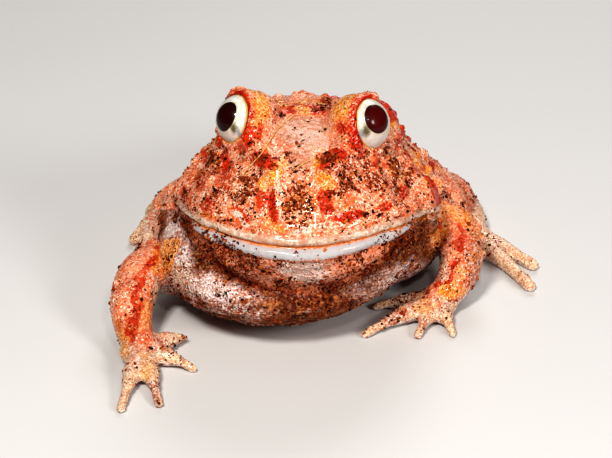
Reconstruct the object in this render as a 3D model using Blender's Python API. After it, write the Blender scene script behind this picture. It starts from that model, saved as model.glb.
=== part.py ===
"""A horned frog of the genus Ceratophrys, life size, propped up on its forelegs with its hind legs folded.

The frog faces -Y with +X on the right of a viewer in front of it, and its hands, feet and belly rest on z = 0.
Each length below is in millimetres. The finished meshes are turned into metres at the very end.
"""

import math
import random

import bmesh
import bpy
import numpy as np
from mathutils import Matrix, Vector
from mathutils.bvhtree import BVHTree

MM = 0.001

# The gap that neighbouring pieces keep
GAP = 0.3

# The head: its frame starts at the middle of the lips, with x to the viewer's right, y back and z up
LIP_HEIGHT = 29.0
NOSE_UP = math.radians(16.0)
HEAD_TURN = math.radians(2.5)
HEAD_ROLL = math.radians(1.2)
JAW_DEPTH = 33.0
MOUTH_HALF_WIDTH = 25.8
OUTLINE_POWER = 2.2

# The mouth's line round the jaw: degrees from the front towards +X, and the height over the head's own level
MOUTH_LINE = [
    (-95, 0.9), (-80, 1.5), (-68, 2.0), (-55, 1.7), (-42, 1.1), (-30, 0.4), (-20, -0.4), (-10, -1.0), (0, -1.05),
    (10, -0.65), (20, 0.3), (30, 1.4), (42, 2.3), (55, 2.5), (68, 2.5), (80, 2.2), (95, 1.4),
]

# The eyes, in the head's frame
EYE_RADIUS = 5.2
EYE_X = {-1: 12.4, 1: 12.0}
EYE_BACK, EYE_UP = 17.5, 21.0
EYE_OUTWARD = math.radians(55.0)
EYE_UPWARD = math.radians(12.0)
LID_THICK = 1.2
LID_OPENING = 2.2
CORNEA_BULGE = 0.45
CORNEA_REACH = 3.6

# The trunk behind the head
THROAT_TILT = math.radians(6.0)
BODY_TURN = math.radians(6.0)
BODY_PIVOT_Y = 20.0

# How finely each form is made: the grid that fuses it, the smoothing and the triangles that it keeps
TRUNK_GRID, LIMB_GRID = 0.6, 0.42
TRUNK_SMOOTHING, LIMB_SMOOTHING = 8, 5
TRUNK_TRIANGLES = 4400
ARM_TRIANGLES = 1150
THIGH_TRIANGLES, SHANK_TRIANGLES, FOOT_TRIANGLES = 220, 220, 860

WART_SEED = 7


def clear_scene():
    for thing in list(bpy.data.objects):
        bpy.data.objects.remove(thing, do_unlink=True)


def spline(rows, steps):
    """Rows along a smooth curve through the given rows, with this many steps from each to the next."""
    rows = np.array(rows, float)
    padded = np.vstack([2 * rows[0] - rows[1], rows, 2 * rows[-1] - rows[-2]])
    made = []
    for i in range(len(rows) - 1):
        before, here, after, beyond = padded[i : i + 4]
        for t in np.arange(steps) / steps:
            made.append(
                here
                + 0.5 * t * (after - before)
                + t * t * (before - 2.5 * here + 2 * after - 0.5 * beyond)
                + 0.5 * t**3 * (3 * here - before - 3 * after + beyond)
            )
    made.append(rows[-1])
    return np.array(made)


def add_object(name, bm, frame=Matrix()):
    mesh = bpy.data.meshes.new(name)
    bmesh.ops.recalc_face_normals(bm, faces=bm.faces)
    bm.to_mesh(mesh)
    bm.free()
    mesh.transform(frame)
    made = bpy.data.objects.new(name, mesh)
    bpy.context.scene.collection.objects.link(made)
    return made


def loft(rings, frame=Matrix()):
    """A closed form through rings of points, capped at both ends."""
    bm = bmesh.new()
    loops = [[bm.verts.new(point) for point in ring] for ring in rings]
    for low, high in zip(loops, loops[1:]):
        for i in range(len(low)):
            j = (i + 1) % len(low)
            bm.faces.new((low[i], low[j], high[j], high[i]))
    bm.faces.new(loops[0])
    bm.faces.new(loops[-1])
    return add_object("form", bm, frame)


def ellipsoid(centre, radii, frame=Matrix(), turn=Matrix(), subdivisions=3):
    bm = bmesh.new()
    bmesh.ops.create_icosphere(bm, subdivisions=subdivisions, radius=1.0)
    place = Matrix.Translation(centre) @ turn.to_4x4() @ Matrix.Diagonal((*radii, 1.0))
    return add_object("form", bm, frame @ place)


def tube(path, frame=Matrix(), sides=20):
    """A round-ended tube through rows of x, y, z and radius."""
    rows = spline(path, 6)
    points, radii = rows[:, :3], rows[:, 3]
    along = np.gradient(points, axis=0)
    along /= np.linalg.norm(along, axis=1)[:, None]
    side = np.cross(along[0], (0.3, 0.2, 1.0))
    rings = []

    def ring(centre, direction, radius):
        nonlocal side
        side = side - direction * side.dot(direction)
        side /= np.linalg.norm(side)
        other = np.cross(direction, side)
        turns = np.linspace(0, 2 * math.pi, sides, endpoint=False)
        return [centre + radius * (math.cos(a) * side + math.sin(a) * other) for a in turns]

    round_end = [math.radians(a) for a in (82, 60, 35)]
    for a in round_end:
        rings.append(ring(points[0] - along[0] * radii[0] * math.sin(a), along[0], radii[0] * math.cos(a)))
    for point, direction, radius in zip(points, along, radii):
        rings.append(ring(point, direction, radius))
    for a in reversed(round_end):
        rings.append(ring(points[-1] + along[-1] * radii[-1] * math.sin(a), along[-1], radii[-1] * math.cos(a)))
    return loft(rings, frame)


def applied(thing):
    """Makes the object's modifiers part of its mesh."""
    graph = bpy.context.evaluated_depsgraph_get()
    mesh = bpy.data.meshes.new_from_object(thing.evaluated_get(graph))
    thing.modifiers.clear()
    thing.data = mesh
    return thing


def join(pieces):
    bm = bmesh.new()
    for piece in pieces:
        bm.from_mesh(piece.data)
        bpy.data.objects.remove(piece)
    mesh = bpy.data.meshes.new("joined")
    bm.to_mesh(mesh)
    bm.free()
    made = bpy.data.objects.new("joined", mesh)
    bpy.context.scene.collection.objects.link(made)
    return made


def fuse(pieces, grid, smoothing, triangles):
    """One smooth closed form round all the pieces, with about this many triangles."""
    whole = join(pieces)
    remesh = whole.modifiers.new("fuse", "REMESH")
    remesh.mode = "VOXEL"
    remesh.voxel_size = grid
    smooth = whole.modifiers.new("smooth", "SMOOTH")
    smooth.factor = 0.5
    smooth.iterations = smoothing
    applied(whole)
    thin = whole.modifiers.new("thin", "DECIMATE")
    thin.ratio = min(1.0, triangles / (2 * len(whole.data.polygons)))
    return applied(whole)


def copy_of(thing, grow=0.0):
    """A copy of the object, moved outwards all over by grow."""
    made = bpy.data.objects.new("copy", thing.data.copy())
    bpy.context.scene.collection.objects.link(made)
    if grow:
        swell = made.modifiers.new("grow", "DISPLACE")
        swell.strength = grow
        swell.mid_level = 0.0
        applied(made)
    return made


def boolean(thing, cutter, operation="DIFFERENCE"):
    change = thing.modifiers.new("boolean", "BOOLEAN")
    change.operation = operation
    change.solver = "EXACT"
    change.object = cutter
    applied(thing)
    bpy.data.objects.remove(cutter)
    return thing


def keep_behind(thing, point, normal):
    """Cuts away what lies on the side of the plane that its normal points to, and closes the cut."""
    bm = bmesh.new()
    bm.from_mesh(thing.data)
    everything = bm.verts[:] + bm.edges[:] + bm.faces[:]
    bmesh.ops.bisect_plane(
        bm, geom=everything, dist=1e-5, plane_co=point, plane_no=normal, clear_outer=True
    )
    rim = [edge for edge in bm.edges if edge.is_boundary]
    bmesh.ops.holes_fill(bm, edges=rim, sides=0)
    bmesh.ops.recalc_face_normals(bm, faces=bm.faces)
    bm.to_mesh(thing.data)
    bm.free()
    return thing


def keep_largest(thing):
    """Drops every loose scrap that a cut left."""
    bm = bmesh.new()
    bm.from_mesh(thing.data)
    unseen = set(bm.verts)
    islands = []
    while unseen:
        island, front = set(), [unseen.pop()]
        while front:
            vertex = front.pop()
            island.add(vertex)
            for edge in vertex.link_edges:
                other = edge.other_vert(vertex)
                if other in unseen:
                    unseen.remove(other)
                    front.append(other)
        islands.append(island)
    islands.sort(key=len)
    scraps = [vertex for island in islands[:-1] for vertex in island]
    bmesh.ops.delete(bm, geom=scraps, context="VERTS")
    bm.to_mesh(thing.data)
    bm.free()
    return thing


def on_floor(thing):
    """A small flat wherever the form reaches the floor."""
    return keep_behind(thing, (0, 0, 0), (0, 0, -1))


def head_frame():
    turn = (
        Matrix.Rotation(-HEAD_TURN, 4, "Z")
        @ Matrix.Rotation(HEAD_ROLL, 4, "Y")
        @ Matrix.Rotation(-NOSE_UP, 4, "X")
    )
    return Matrix.Translation((0, 0, LIP_HEIGHT)) @ turn


def body_frame():
    pivot = Matrix.Translation((0, BODY_PIVOT_Y, 0))
    return pivot @ Matrix.Rotation(-BODY_TURN, 4, "Z") @ pivot.inverted()


HEAD = head_frame()
BODY = body_frame()


def outline(half_width, front, back, height, power, count=56):
    """A level of the head: blunt in front of the jaw's corners, round behind them."""
    ring = []
    for a in np.linspace(0, 2 * math.pi, count, endpoint=False):
        across, forward = math.sin(a), math.cos(a)
        shape = 2 / (power if forward > 0 else 2.0)
        x = half_width * math.copysign(abs(across) ** shape, across)
        reach = front if forward > 0 else back
        y = JAW_DEPTH - reach * math.copysign(abs(forward) ** shape, forward)
        ring.append((x, y, height))
    return ring


def head_dome():
    # height over the mouth, half width, reach forward of the jaw's corners, reach behind them, squareness
    levels = [
        (-1.0, 25.4, 32.6, 14.0, 2.2),
        (2.0, 26.2, 33.1, 14.0, 2.2),
        (5.0, 25.2, 32.7, 14.0, 2.2),
        (8.0, 23.4, 31.6, 13.5, 2.15),
        (12.0, 20.6, 28.8, 12.5, 2.1),
        (15.0, 18.2, 25.4, 11.5, 2.05),
        (18.0, 15.6, 20.6, 10.0, 2.0),
        (21.0, 12.2, 14.6, 8.0, 2.0),
        (23.2, 8.4, 8.6, 5.5, 2.0),
        (24.3, 3.0, 3.0, 2.0, 2.0),
    ]
    rows = spline(levels, 3)
    return loft([outline(r[1], r[2], r[3], r[0], r[4]) for r in rows], HEAD)


def jaw_bowl():
    levels = [
        (-11.5, 12.0, 17.0, 8.0, 2.1),
        (-9.5, 19.5, 25.0, 10.0, 2.15),
        (-7.5, 22.6, 28.8, 12.0, 2.2),
        (-5.0, 24.2, 31.4, 13.0, 2.2),
        (-2.5, 24.8, 32.3, 14.0, 2.2),
        (1.0, 24.8, 32.2, 14.0, 2.2),
    ]
    rows = spline(levels, 3)
    return loft([outline(r[1], r[2], r[3], r[0], r[4]) for r in rows], HEAD)


def mouth_height(degrees):
    angles, heights = zip(*MOUTH_LINE)
    return float(np.interp(degrees, angles, heights))


def lip(height, inset, radius):
    """A roll along the mouth from corner to corner."""
    path = []
    shape = 2 / OUTLINE_POWER
    for degrees in range(-84, 85, 12):
        a = math.radians(degrees)
        x = (MOUTH_HALF_WIDTH - inset) * math.copysign(abs(math.sin(a)) ** shape, a)
        y = JAW_DEPTH - (JAW_DEPTH - inset) * abs(math.cos(a)) ** shape
        round_jaw = math.degrees(math.atan2(x, JAW_DEPTH - y))
        path.append((x, y, height + mouth_height(round_jaw), radius))
    return tube(path, HEAD, sides=12)


def eye_place(side):
    return Vector((side * EYE_X[side], EYE_BACK, EYE_UP))


def eye_direction(side):
    """The way that the lids open, in the head's frame."""
    return Vector(
        (
            side * math.sin(EYE_OUTWARD) * math.cos(EYE_UPWARD),
            -math.cos(EYE_OUTWARD) * math.cos(EYE_UPWARD),
            math.sin(EYE_UPWARD),
        )
    )


def brow(side):
    """The lids round one eye: a ring that is open on the outer side, the mound of the upper lid and its horn."""
    ring = ellipsoid(eye_place(side), [EYE_RADIUS + LID_THICK] * 3)
    keep_behind(ring, eye_place(side) + LID_OPENING * eye_direction(side), eye_direction(side))
    ring.data.transform(HEAD)
    x = EYE_X[side]
    mound = ellipsoid((side * (x - 2.1), EYE_BACK + 2.6, EYE_UP), (5.6, 7.6, 5.7), HEAD)
    horn = tube(
        [
            (side * (x - 2.4), EYE_BACK + 3.6, EYE_UP + 1.8, 3.4),
            (side * (x + 0.1), EYE_BACK + 2.4, EYE_UP + 4.2, 2.3),
            (side * (x + 2.1), EYE_BACK + 1.6, EYE_UP + 6.1, 1.0),
        ],
        HEAD,
        sides=12,
    )
    return [ring, mound, horn]


def face_forms():
    forms = [head_dome(), jaw_bowl()]
    forms.append(lip(1.9, 1.1, 1.5))
    forms.append(lip(-2.2, 1.7, 1.9))
    for side in (-1, 1):
        forms += brow(side)
        # the mound that carries the nostril, the ridge from it to the eye, the cheek, the temple and the eardrum
        forms.append(ellipsoid((side * 5.2, 6.6, 11.8), (2.6, 3.0, 2.8), HEAD))
        forms.append(tube([(side * 5.6, 7.5, 13.0, 2.2), (side * 9.4, 14.0, 17.0, 3.0)], HEAD, sides=12))
        forms.append(ellipsoid((side * 19.2 + 0.8, 28.0, 3.0), (8.0, 10.0, 8.0), HEAD))
        forms.append(ellipsoid((side * 13.3 + 0.7, 31.0, 17.0), (5.5, 8.0, 7.5), HEAD))
        tilt = Matrix.Rotation(-side * math.radians(35.0), 4, "Y")
        forms.append(ellipsoid((side * 20.9, 29.0, 11.0), (1.3, 2.5, 2.8), HEAD, tilt))
    return forms


def section(y, middle, half_width, wide_height, top, bottom, count=44):
    """A slice across the trunk, widest at wide_height, with a narrower back and a broad belly."""
    ring = []
    for a in np.linspace(0, 2 * math.pi, count, endpoint=False):
        across, up = math.cos(a), math.sin(a)
        shape = 2 / (1.8 if up > 0 else 2.5)
        x = middle + half_width * math.copysign(abs(across) ** shape, across)
        reach = top - wide_height if up > 0 else wide_height - bottom
        z = wide_height + reach * math.copysign(abs(up) ** shape, up)
        ring.append((x, y, z))
    return ring


def torso_loft():
    # distance back from the lips, middle, half width, height of the widest line, top, bottom
    stations = [
        (22.0, 0.0, 16.0, 19.0, 33.5, 8.0),
        (29.0, 0.5, 22.8, 15.0, 40.4, 3.5),
        (37.0, 1.1, 26.6, 12.6, 41.4, 1.2),
        (46.0, 1.4, 28.4, 10.6, 38.4, -0.5),
        (56.0, 1.4, 27.6, 9.2, 34.0, -1.0),
        (66.0, 1.3, 25.2, 8.2, 29.8, -1.0),
        (76.0, 1.2, 20.8, 7.8, 24.6, -0.8),
        (85.0, 0.8, 15.2, 7.4, 18.2, -0.3),
        (91.5, 0.6, 9.4, 7.0, 12.6, 1.6),
        (94.5, 0.6, 4.0, 6.6, 8.6, 4.2),
    ]
    rows = spline(stations, 3)
    return loft([section(*r) for r in rows], BODY)


def trunk_forms():
    forms = [torso_loft()]
    # the throat's sac and the breast below the jaw, lower on the viewer's left, and the shoulders
    sag = Matrix.Rotation(-THROAT_TILT, 4, "Y")
    forms.append(ellipsoid((-3.0, 28.2, 14.3), (27.0, 24.0, 12.7), turn=sag))
    for side in (-1, 1):
        forms.append(ellipsoid((side * 21.0, 36.0, 14.0), (9.0, 9.5, 9.0)))
    return forms


def surface_point(tree, origin, direction):
    """Where a line from inside first leaves the form, and the way that the surface faces there."""
    hit, normal, _, _ = tree.ray_cast(origin, direction)
    return hit, normal


def warts(forms):
    """Blunt tubercles over the back, the flanks and the sides of the head, largest on the flanks."""
    graph = bpy.context.evaluated_depsgraph_get()
    trees = [BVHTree.FromObject(form, graph) for form in forms]
    draw = random.Random(WART_SEED)
    made = []
    for row, (y, lift) in enumerate([(39, 14), (47, 13), (55, 12), (63, 11), (71, 10), (79, 8)]):
        for column in range(-3, 4):
            angle = math.radians(column * 25.0 + draw.uniform(-7, 7) + 12 * (row % 2))
            origin = BODY @ Vector((0, y + draw.uniform(-1.8, 1.8), lift))
            direction = Vector((math.sin(angle), 0.15, math.cos(angle)))
            radius = draw.uniform(1.3, 2.1)
            far = None
            for tree in trees:
                inner = origin + direction * 200
                hit, _ = surface_point(tree, inner, -direction)
                if hit is not None and (far is None or (hit - origin).length > (far - origin).length):
                    far = hit
            if far is not None and far.z > 4:
                made.append(ellipsoid(far, (radius, radius, radius), subdivisions=2))
    return made


def trunk():
    forms = face_forms() + trunk_forms()
    forms += warts(forms)
    return on_floor(fuse(forms, TRUNK_GRID, TRUNK_SMOOTHING, TRUNK_TRIANGLES))


def nostrils(whole):
    for side in (-1, 1):
        pit = ellipsoid((side * 5.3, 5.6, 13.6), (0.95, 1.2, 0.75), HEAD, subdivisions=2)
        boolean(whole, pit)
    return whole


def eyeball(side):
    """A ball whose cornea swells a little round the way that it looks."""
    bm = bmesh.new()
    bmesh.ops.create_uvsphere(bm, u_segments=18, v_segments=12, radius=EYE_RADIUS)
    for vertex in bm.verts:
        ahead = vertex.co.z
        wide = math.hypot(vertex.co.x, vertex.co.y)
        if ahead > 0 and wide < CORNEA_REACH:
            vertex.co *= 1 + CORNEA_BULGE / EYE_RADIUS * (1 - (wide / CORNEA_REACH) ** 2)
    turn = eye_direction(side).to_track_quat("Z", "Y").to_matrix().to_4x4()
    return add_object("eye", bm, HEAD @ Matrix.Translation(eye_place(side)) @ turn)


# The planes that part the head, the lower jaw and the torso
NECK_POINT = Vector((0, 21.5, 4.0))
NECK_NORMAL = Vector((0, 1.0, -0.46)).normalized()


def mouth_block(shift, far):
    """All that lies between the mouth's surface, moved up by shift, and the level far above or below it."""
    turns = [math.radians(a) for a in range(-180, 180, 6)]

    def level(a):
        degrees = math.degrees(a)
        behind = max(0.0, (abs(degrees) - 95.0) / 85.0)
        return mouth_height(degrees) * (1 - behind) + 1.15 * behind

    def ring(radius, share):
        return [
            (radius * math.sin(a), JAW_DEPTH - radius * math.cos(a), shift + share * level(a) + (1 - share) * 0.8)
            for a in turns
        ]

    edge = [(x, y, far) for x, y, _ in ring(48.0, 1.0)]
    cap = [(x, y, far) for x, y, _ in ring(0.5, 0.0)]
    return loft([ring(0.5, 0.0), ring(9.0, 0.2), ring(18.0, 1.0), ring(48.0, 1.0), edge, cap], HEAD)


def parted_trunk(whole):
    """The head, the lower jaw and the torso, a thin cut apart."""
    half = GAP / 2
    front = keep_behind(copy_of(whole), NECK_POINT - NECK_NORMAL * half, NECK_NORMAL)
    torso = keep_behind(copy_of(whole), NECK_POINT + NECK_NORMAL * half, -NECK_NORMAL)
    jaw = boolean(copy_of(front), mouth_block(-half, 60.0))
    head = boolean(front, mouth_block(half, -60.0))
    return keep_largest(head), keep_largest(jaw), keep_largest(torso)


def digits(palm, fan, root_radius, tip_radius, lift):
    """Fingers or toes from the palm: each row of the fan is degrees from forward towards +X, and a length."""
    forms = []
    for degrees, length in fan:
        a = math.radians(degrees)
        ahead = Vector((math.sin(a), -math.cos(a), 0))
        root = palm + ahead * 2.0
        tip = palm + ahead * length
        knuckle = root.lerp(tip, 0.38)
        joint = root.lerp(tip, 0.72)
        forms.append(
            tube(
                [
                    (root.x, root.y, palm.z, root_radius),
                    (knuckle.x, knuckle.y, lift, root_radius * 0.86),
                    (joint.x, joint.y, lift * 0.8, tip_radius),
                    (tip.x, tip.y, tip_radius * 0.7, tip_radius),
                ],
                sides=12,
            )
        )
    return forms


# Each foreleg, as seen by a viewer in front: shoulder, elbow, forearm, wrist and palm, then the fingers' fan
LEFT_ARM = [
    (-16.0, 32.0, 9.0, 7.2),
    (-24.6, 27.4, 9.4, 6.1),
    (-31.4, 22.4, 10.6, 5.0),
    (-33.6, 15.0, 8.2, 4.6),
    (-33.1, 8.8, 5.0, 3.8),
    (-31.2, 4.8, 3.1, 3.3),
]
LEFT_FINGERS = [(-8, 20.0), (14, 18.5), (66, 11.5), (130, 13.5)]
RIGHT_ARM = [
    (21.0, 38.0, 11.0, 7.6),
    (28.5, 38.5, 12.6, 6.4),
    (33.6, 36.8, 12.6, 5.0),
    (34.4, 30.6, 9.2, 4.6),
    (32.0, 25.4, 5.2, 3.6),
    (28.8, 24.6, 3.0, 3.2),
]
RIGHT_FINGERS = [(16, 11.0), (-20, 12.0), (-54, 18.5), (-94, 12.5)]


def foreleg(path, fan):
    palm = Vector(path[-1][:3])
    forms = [tube(path)]
    forms.append(ellipsoid(palm + Vector((0, -0.6, -0.9)), (4.6, 4.4, 2.6)))
    forms += digits(palm - Vector((0, 0, 0.8)), fan, 2.3, 1.0, 2.1)
    return on_floor(fuse(forms, LIMB_GRID, LIMB_SMOOTHING, ARM_TRIANGLES))


def parted_foreleg(whole, path):
    """The upper arm, the forearm and the hand, a thin cut apart."""
    shoulder, elbow, fore, wrist, palm = (Vector(path[i][:3]) for i in (1, 2, 3, 4, 5))
    elbow_normal = ((fore - elbow).normalized() + (elbow - shoulder).normalized()).normalized()
    wrist_normal = (wrist - fore).normalized()
    half = GAP / 2
    upper = keep_behind(copy_of(whole), elbow - elbow_normal * half, elbow_normal)
    lower = keep_behind(copy_of(whole), elbow + elbow_normal * half, -elbow_normal)
    hand = keep_behind(copy_of(lower), wrist + wrist_normal * half, -wrist_normal)
    keep_behind(lower, wrist - wrist_normal * half, wrist_normal)
    bpy.data.objects.remove(whole)
    return keep_largest(upper), keep_largest(lower), keep_largest(hand)


# Each hind leg: thigh, shank, and foot from the heel to where the toes part, then the toes' fan
RIGHT_THIGH = [(14.6, 80.0, 8.2, 7.8), (25.4, 70.0, 8.0, 7.8), (32.0, 58.4, 7.4, 6.2)]
RIGHT_SHANK = [(33.4, 57.6, 5.8, 5.0), (34.6, 67.0, 5.4, 5.4), (30.4, 79.0, 4.2, 3.8)]
RIGHT_FOOT = [(30.8, 81.4, 3.8, 3.6), (35.8, 74.0, 3.4, 3.3), (38.8, 64.4, 3.0, 3.2), (38.6, 56.4, 2.6, 3.4)]
RIGHT_TOES = [(-32, 9.0), (-17, 12.5), (-2, 17.5), (26, 25.0), (44, 18.0)]
LEFT_THIGH = [(-3.0, 79.0, 8.0, 7.6), (-14.5, 69.0, 7.6, 7.4), (-24.0, 56.0, 6.8, 5.7)]
LEFT_SHANK = [(-25.0, 55.0, 6.0, 5.0), (-24.8, 66.0, 5.4, 5.4), (-19.6, 77.6, 4.2, 3.8)]
LEFT_FOOT = [(-20.0, 80.2, 3.8, 3.6), (-25.4, 77.0, 3.4, 3.3), (-29.2, 72.0, 3.0, 3.2), (-30.4, 67.5, 2.6, 3.4)]
LEFT_TOES = [(28, 9.0), (13, 12.5), (0, 15.5), (-13, 19.5), (-27, 13.5)]


def hind_segment(path, triangles):
    return on_floor(fuse([tube(path)], LIMB_GRID, LIMB_SMOOTHING, triangles))


def web(palm, fan, thick):
    """The skin between neighbouring toes, half as long as they are."""
    forms = []
    for (one, short), (other, long) in zip(fan, fan[1:]):
        corners = []
        for degrees, length in ((one, short), (other, long)):
            a = math.radians(degrees)
            corners.append(palm + Vector((math.sin(a), -math.cos(a), 0)) * length * 0.52)
        middle = palm + ((corners[0] + corners[1]) / 2 - palm) * 0.86
        edge = [corners[0], middle, corners[1], palm]
        forms.append(loft([[(p.x, p.y, z) for p in edge] for z in (-0.4, thick)]))
    return forms


def foot(path, fan):
    root = Vector(path[-1][:3])
    forms = [tube(path)]
    forms.append(ellipsoid(root + Vector((0, -0.4, -0.5)), (4.6, 4.8, 2.3)))
    forms += digits(root - Vector((0, 0, 0.8)), fan, 2.4, 1.45, 2.0)
    forms += web(Vector((root.x, root.y, 0)), fan, 1.3)
    return on_floor(fuse(forms, LIMB_GRID, LIMB_SMOOTHING, FOOT_TRIANGLES))


def coloured(name, colour, roughness):
    material = bpy.data.materials.new(name)
    material.use_nodes = True
    shader = material.node_tree.nodes["Principled BSDF"]
    shader.inputs["Base Color"].default_value = (*colour, 1.0)
    shader.inputs["Roughness"].default_value = roughness
    shader.inputs["Metallic"].default_value = 0.0
    return material


def overlaps(one, other):
    """Whether the boxes round two objects meet."""
    boxes = []
    for thing in (one, other):
        corners = np.array([vertex.co for vertex in thing.data.vertices])
        boxes.append((corners.min(0) - 2 * GAP, corners.max(0) + 2 * GAP))
    (low, high), (other_low, other_high) = boxes
    return bool((low < other_high).all() and (other_low < high).all())


def make_frog():
    """Every node by name, in millimetres."""
    whole = trunk()
    nodes = {}
    older = [whole]

    def trimmed(thing):
        """Cut back from the whole of each form made before it, so that they meet face to face."""
        uncut = copy_of(thing)
        for other in older:
            if overlaps(thing, other):
                boolean(thing, copy_of(other, GAP))
        older.append(uncut)
        return keep_largest(thing)

    for side, thigh, shank, foot_path, toes in (
        ("left", LEFT_THIGH, LEFT_SHANK, LEFT_FOOT, LEFT_TOES),
        ("right", RIGHT_THIGH, RIGHT_SHANK, RIGHT_FOOT, RIGHT_TOES),
    ):
        nodes[f"thigh_{side}"] = trimmed(hind_segment(thigh, THIGH_TRIANGLES))
        nodes[f"shank_{side}"] = trimmed(hind_segment(shank, SHANK_TRIANGLES))
        nodes[f"foot_{side}"] = trimmed(foot(foot_path, toes))
    for side, path, fan in (("left", LEFT_ARM, LEFT_FINGERS), ("right", RIGHT_ARM, RIGHT_FINGERS)):
        upper, lower, hand = parted_foreleg(trimmed(foreleg(path, fan)), path)
        nodes[f"upper_arm_{side}"] = upper
        nodes[f"forearm_{side}"] = lower
        nodes[f"hand_{side}"] = hand

    for side in (-1, 1):
        socket = ellipsoid(eye_place(side), [EYE_RADIUS + GAP + 0.06] * 3, HEAD)
        boolean(whole, socket)
    nostrils(whole)
    nodes["head"], nodes["lower_jaw"], nodes["torso"] = parted_trunk(whole)
    for uncut in older:
        bpy.data.objects.remove(uncut)
    nodes["eye_left"] = eyeball(-1)
    nodes["eye_right"] = eyeball(1)
    return nodes


def main():
    clear_scene()
    skin = coloured("skin", (0.78, 0.36, 0.22), 0.42)
    pale_skin = coloured("pale_skin", (0.74, 0.55, 0.47), 0.45)
    eye = coloured("eye", (0.85, 0.82, 0.74), 0.12)
    nodes = make_frog()
    corners = np.array([v.co for thing in nodes.values() for v in thing.data.vertices])
    middle = (corners.min(0) + corners.max(0)) / 2
    to_metres = Matrix.Scale(MM, 4) @ Matrix.Translation((-middle[0], -middle[1], 0))
    for name, thing in nodes.items():
        thing.name = name
        thing.data.name = name
        thing.data.transform(to_metres)
        thing.data.materials.clear()
        if name.startswith("eye"):
            thing.data.materials.append(eye)
        elif name == "lower_jaw":
            thing.data.materials.append(pale_skin)
        else:
            thing.data.materials.append(skin)
        thing.data.shade_smooth()
        thing.data.set_sharp_from_angle(angle=math.radians(40))
    print("shift", [round(float(v), 3) for v in middle])


main()
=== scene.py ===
"""The look of the horned frog: moist warty skin, wet eyes, specks of soil, a pale floor and soft light."""

import math
from functools import reduce

import bmesh
import bpy
import numpy as np
from mathutils import Matrix, Vector
from mathutils.bvhtree import BVHTree
from mathutils.kdtree import KDTree


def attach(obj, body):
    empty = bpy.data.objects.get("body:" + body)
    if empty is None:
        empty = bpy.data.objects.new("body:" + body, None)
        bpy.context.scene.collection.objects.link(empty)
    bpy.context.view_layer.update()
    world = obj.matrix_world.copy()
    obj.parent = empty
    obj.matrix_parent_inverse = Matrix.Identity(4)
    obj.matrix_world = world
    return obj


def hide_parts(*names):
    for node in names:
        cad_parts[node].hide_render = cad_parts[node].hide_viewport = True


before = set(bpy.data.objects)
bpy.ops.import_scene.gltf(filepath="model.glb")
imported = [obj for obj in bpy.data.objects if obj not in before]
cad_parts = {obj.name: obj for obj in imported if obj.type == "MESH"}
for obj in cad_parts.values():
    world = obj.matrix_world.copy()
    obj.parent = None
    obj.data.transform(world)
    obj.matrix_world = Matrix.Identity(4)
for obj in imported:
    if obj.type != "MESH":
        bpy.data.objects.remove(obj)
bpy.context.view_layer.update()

MM = 0.001

# Where the lips' frame starts, in millimetres: on the floor, straight below the middle of the lips
LIPS_X, LIPS_Y = -7.117, -39.150

LIP_HEIGHT = 29.0
NOSE_UP = math.radians(16.0)
HEAD_TURN = math.radians(2.5)
HEAD_ROLL = math.radians(1.2)
JAW_DEPTH = 33.0
EYE_RADIUS = 5.2
# Values by side: -1 at the viewer's left, 1 at the viewer's right
EYE_X = {-1: 12.4, 1: 11.8}
BALL_RADIUS = {-1: 5.2, 1: 5.4}
EYE_BACK, EYE_UP = 17.5, 21.0

# The main view is from 27 degrees above the front, 400 mm from the lips
VIEW_TILT = math.radians(27.0)
VIEW_DISTANCE = 400.0
TOWARDS_VIEWER = np.array((0, -math.cos(VIEW_TILT), math.sin(VIEW_TILT)))
UP_IN_VIEW = Vector((0, math.sin(VIEW_TILT), math.cos(VIEW_TILT)))

FLESH = [
    "head", "lower_jaw", "torso",
    "upper_arm_left", "forearm_left", "hand_left", "upper_arm_right", "forearm_right", "hand_right",
    "thigh_left", "shank_left", "foot_left", "thigh_right", "shank_right", "foot_right",
]
# The cell of the skin's grid and how far the flesh swells before it is fused, in millimetres
SKIN_GRID = 0.33
SKIN_SWELL = 0.26

HEAD = (
    Matrix.Translation((0, 0, LIP_HEIGHT))
    @ Matrix.Rotation(-HEAD_TURN, 4, "Z")
    @ Matrix.Rotation(HEAD_ROLL, 4, "Y")
    @ Matrix.Rotation(-NOSE_UP, 4, "X")
)
# From the lips' frame in millimetres to the scene in metres
TO_SCENE = Matrix.Scale(MM, 4) @ Matrix.Translation((LIPS_X, LIPS_Y, 0))


def lattice(x, y, z, seed):
    """A repeatable number from -1 to 1 for each whole-number point."""
    n = (x * 374761393 + y * 668265263 + z * 1440662683 + seed * 1013904223) & 0xFFFFFFFF
    n = ((n ^ (n >> 13)) * 1274126177) & 0xFFFFFFFF
    n = ((n ^ (n >> 15)) * 2246822519) & 0xFFFFFFFF
    return ((n ^ (n >> 16)) & 0xFFFFFF) / 8388607.5 - 1.0


def noise(points, size, seed=0, octaves=3):
    """Smooth noise from about -1 to 1, with features of this size in millimetres."""
    total = np.zeros(len(points))
    weight, whole = 1.0, 0.0
    for octave in range(octaves):
        scaled = points * (2**octave / size) + 17.3 * octave
        low = np.floor(scaled).astype(np.int64)
        t = scaled - low
        t = t * t * (3 - 2 * t)
        value = np.zeros(len(points))
        for corner in range(8):
            step = np.array([corner & 1, corner >> 1 & 1, corner >> 2 & 1])
            share = np.prod(np.where(step, t, 1 - t), axis=1)
            at = low + step
            value += share * lattice(at[:, 0], at[:, 1], at[:, 2], seed + octave)
        total += weight * value
        whole += weight
        weight *= 0.5
    return total / whole * 1.6


def rise(value, low, high):
    """0 below low, 1 above high and smooth between."""
    t = np.clip((value - low) / (high - low), 0, 1)
    return t * t * (3 - 2 * t)


def bump(value, middle, width):
    return np.exp(-(((value - middle) / width) ** 2))


def most(*values):
    """The largest of several arrays, point by point."""
    return reduce(np.maximum, values)


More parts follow.
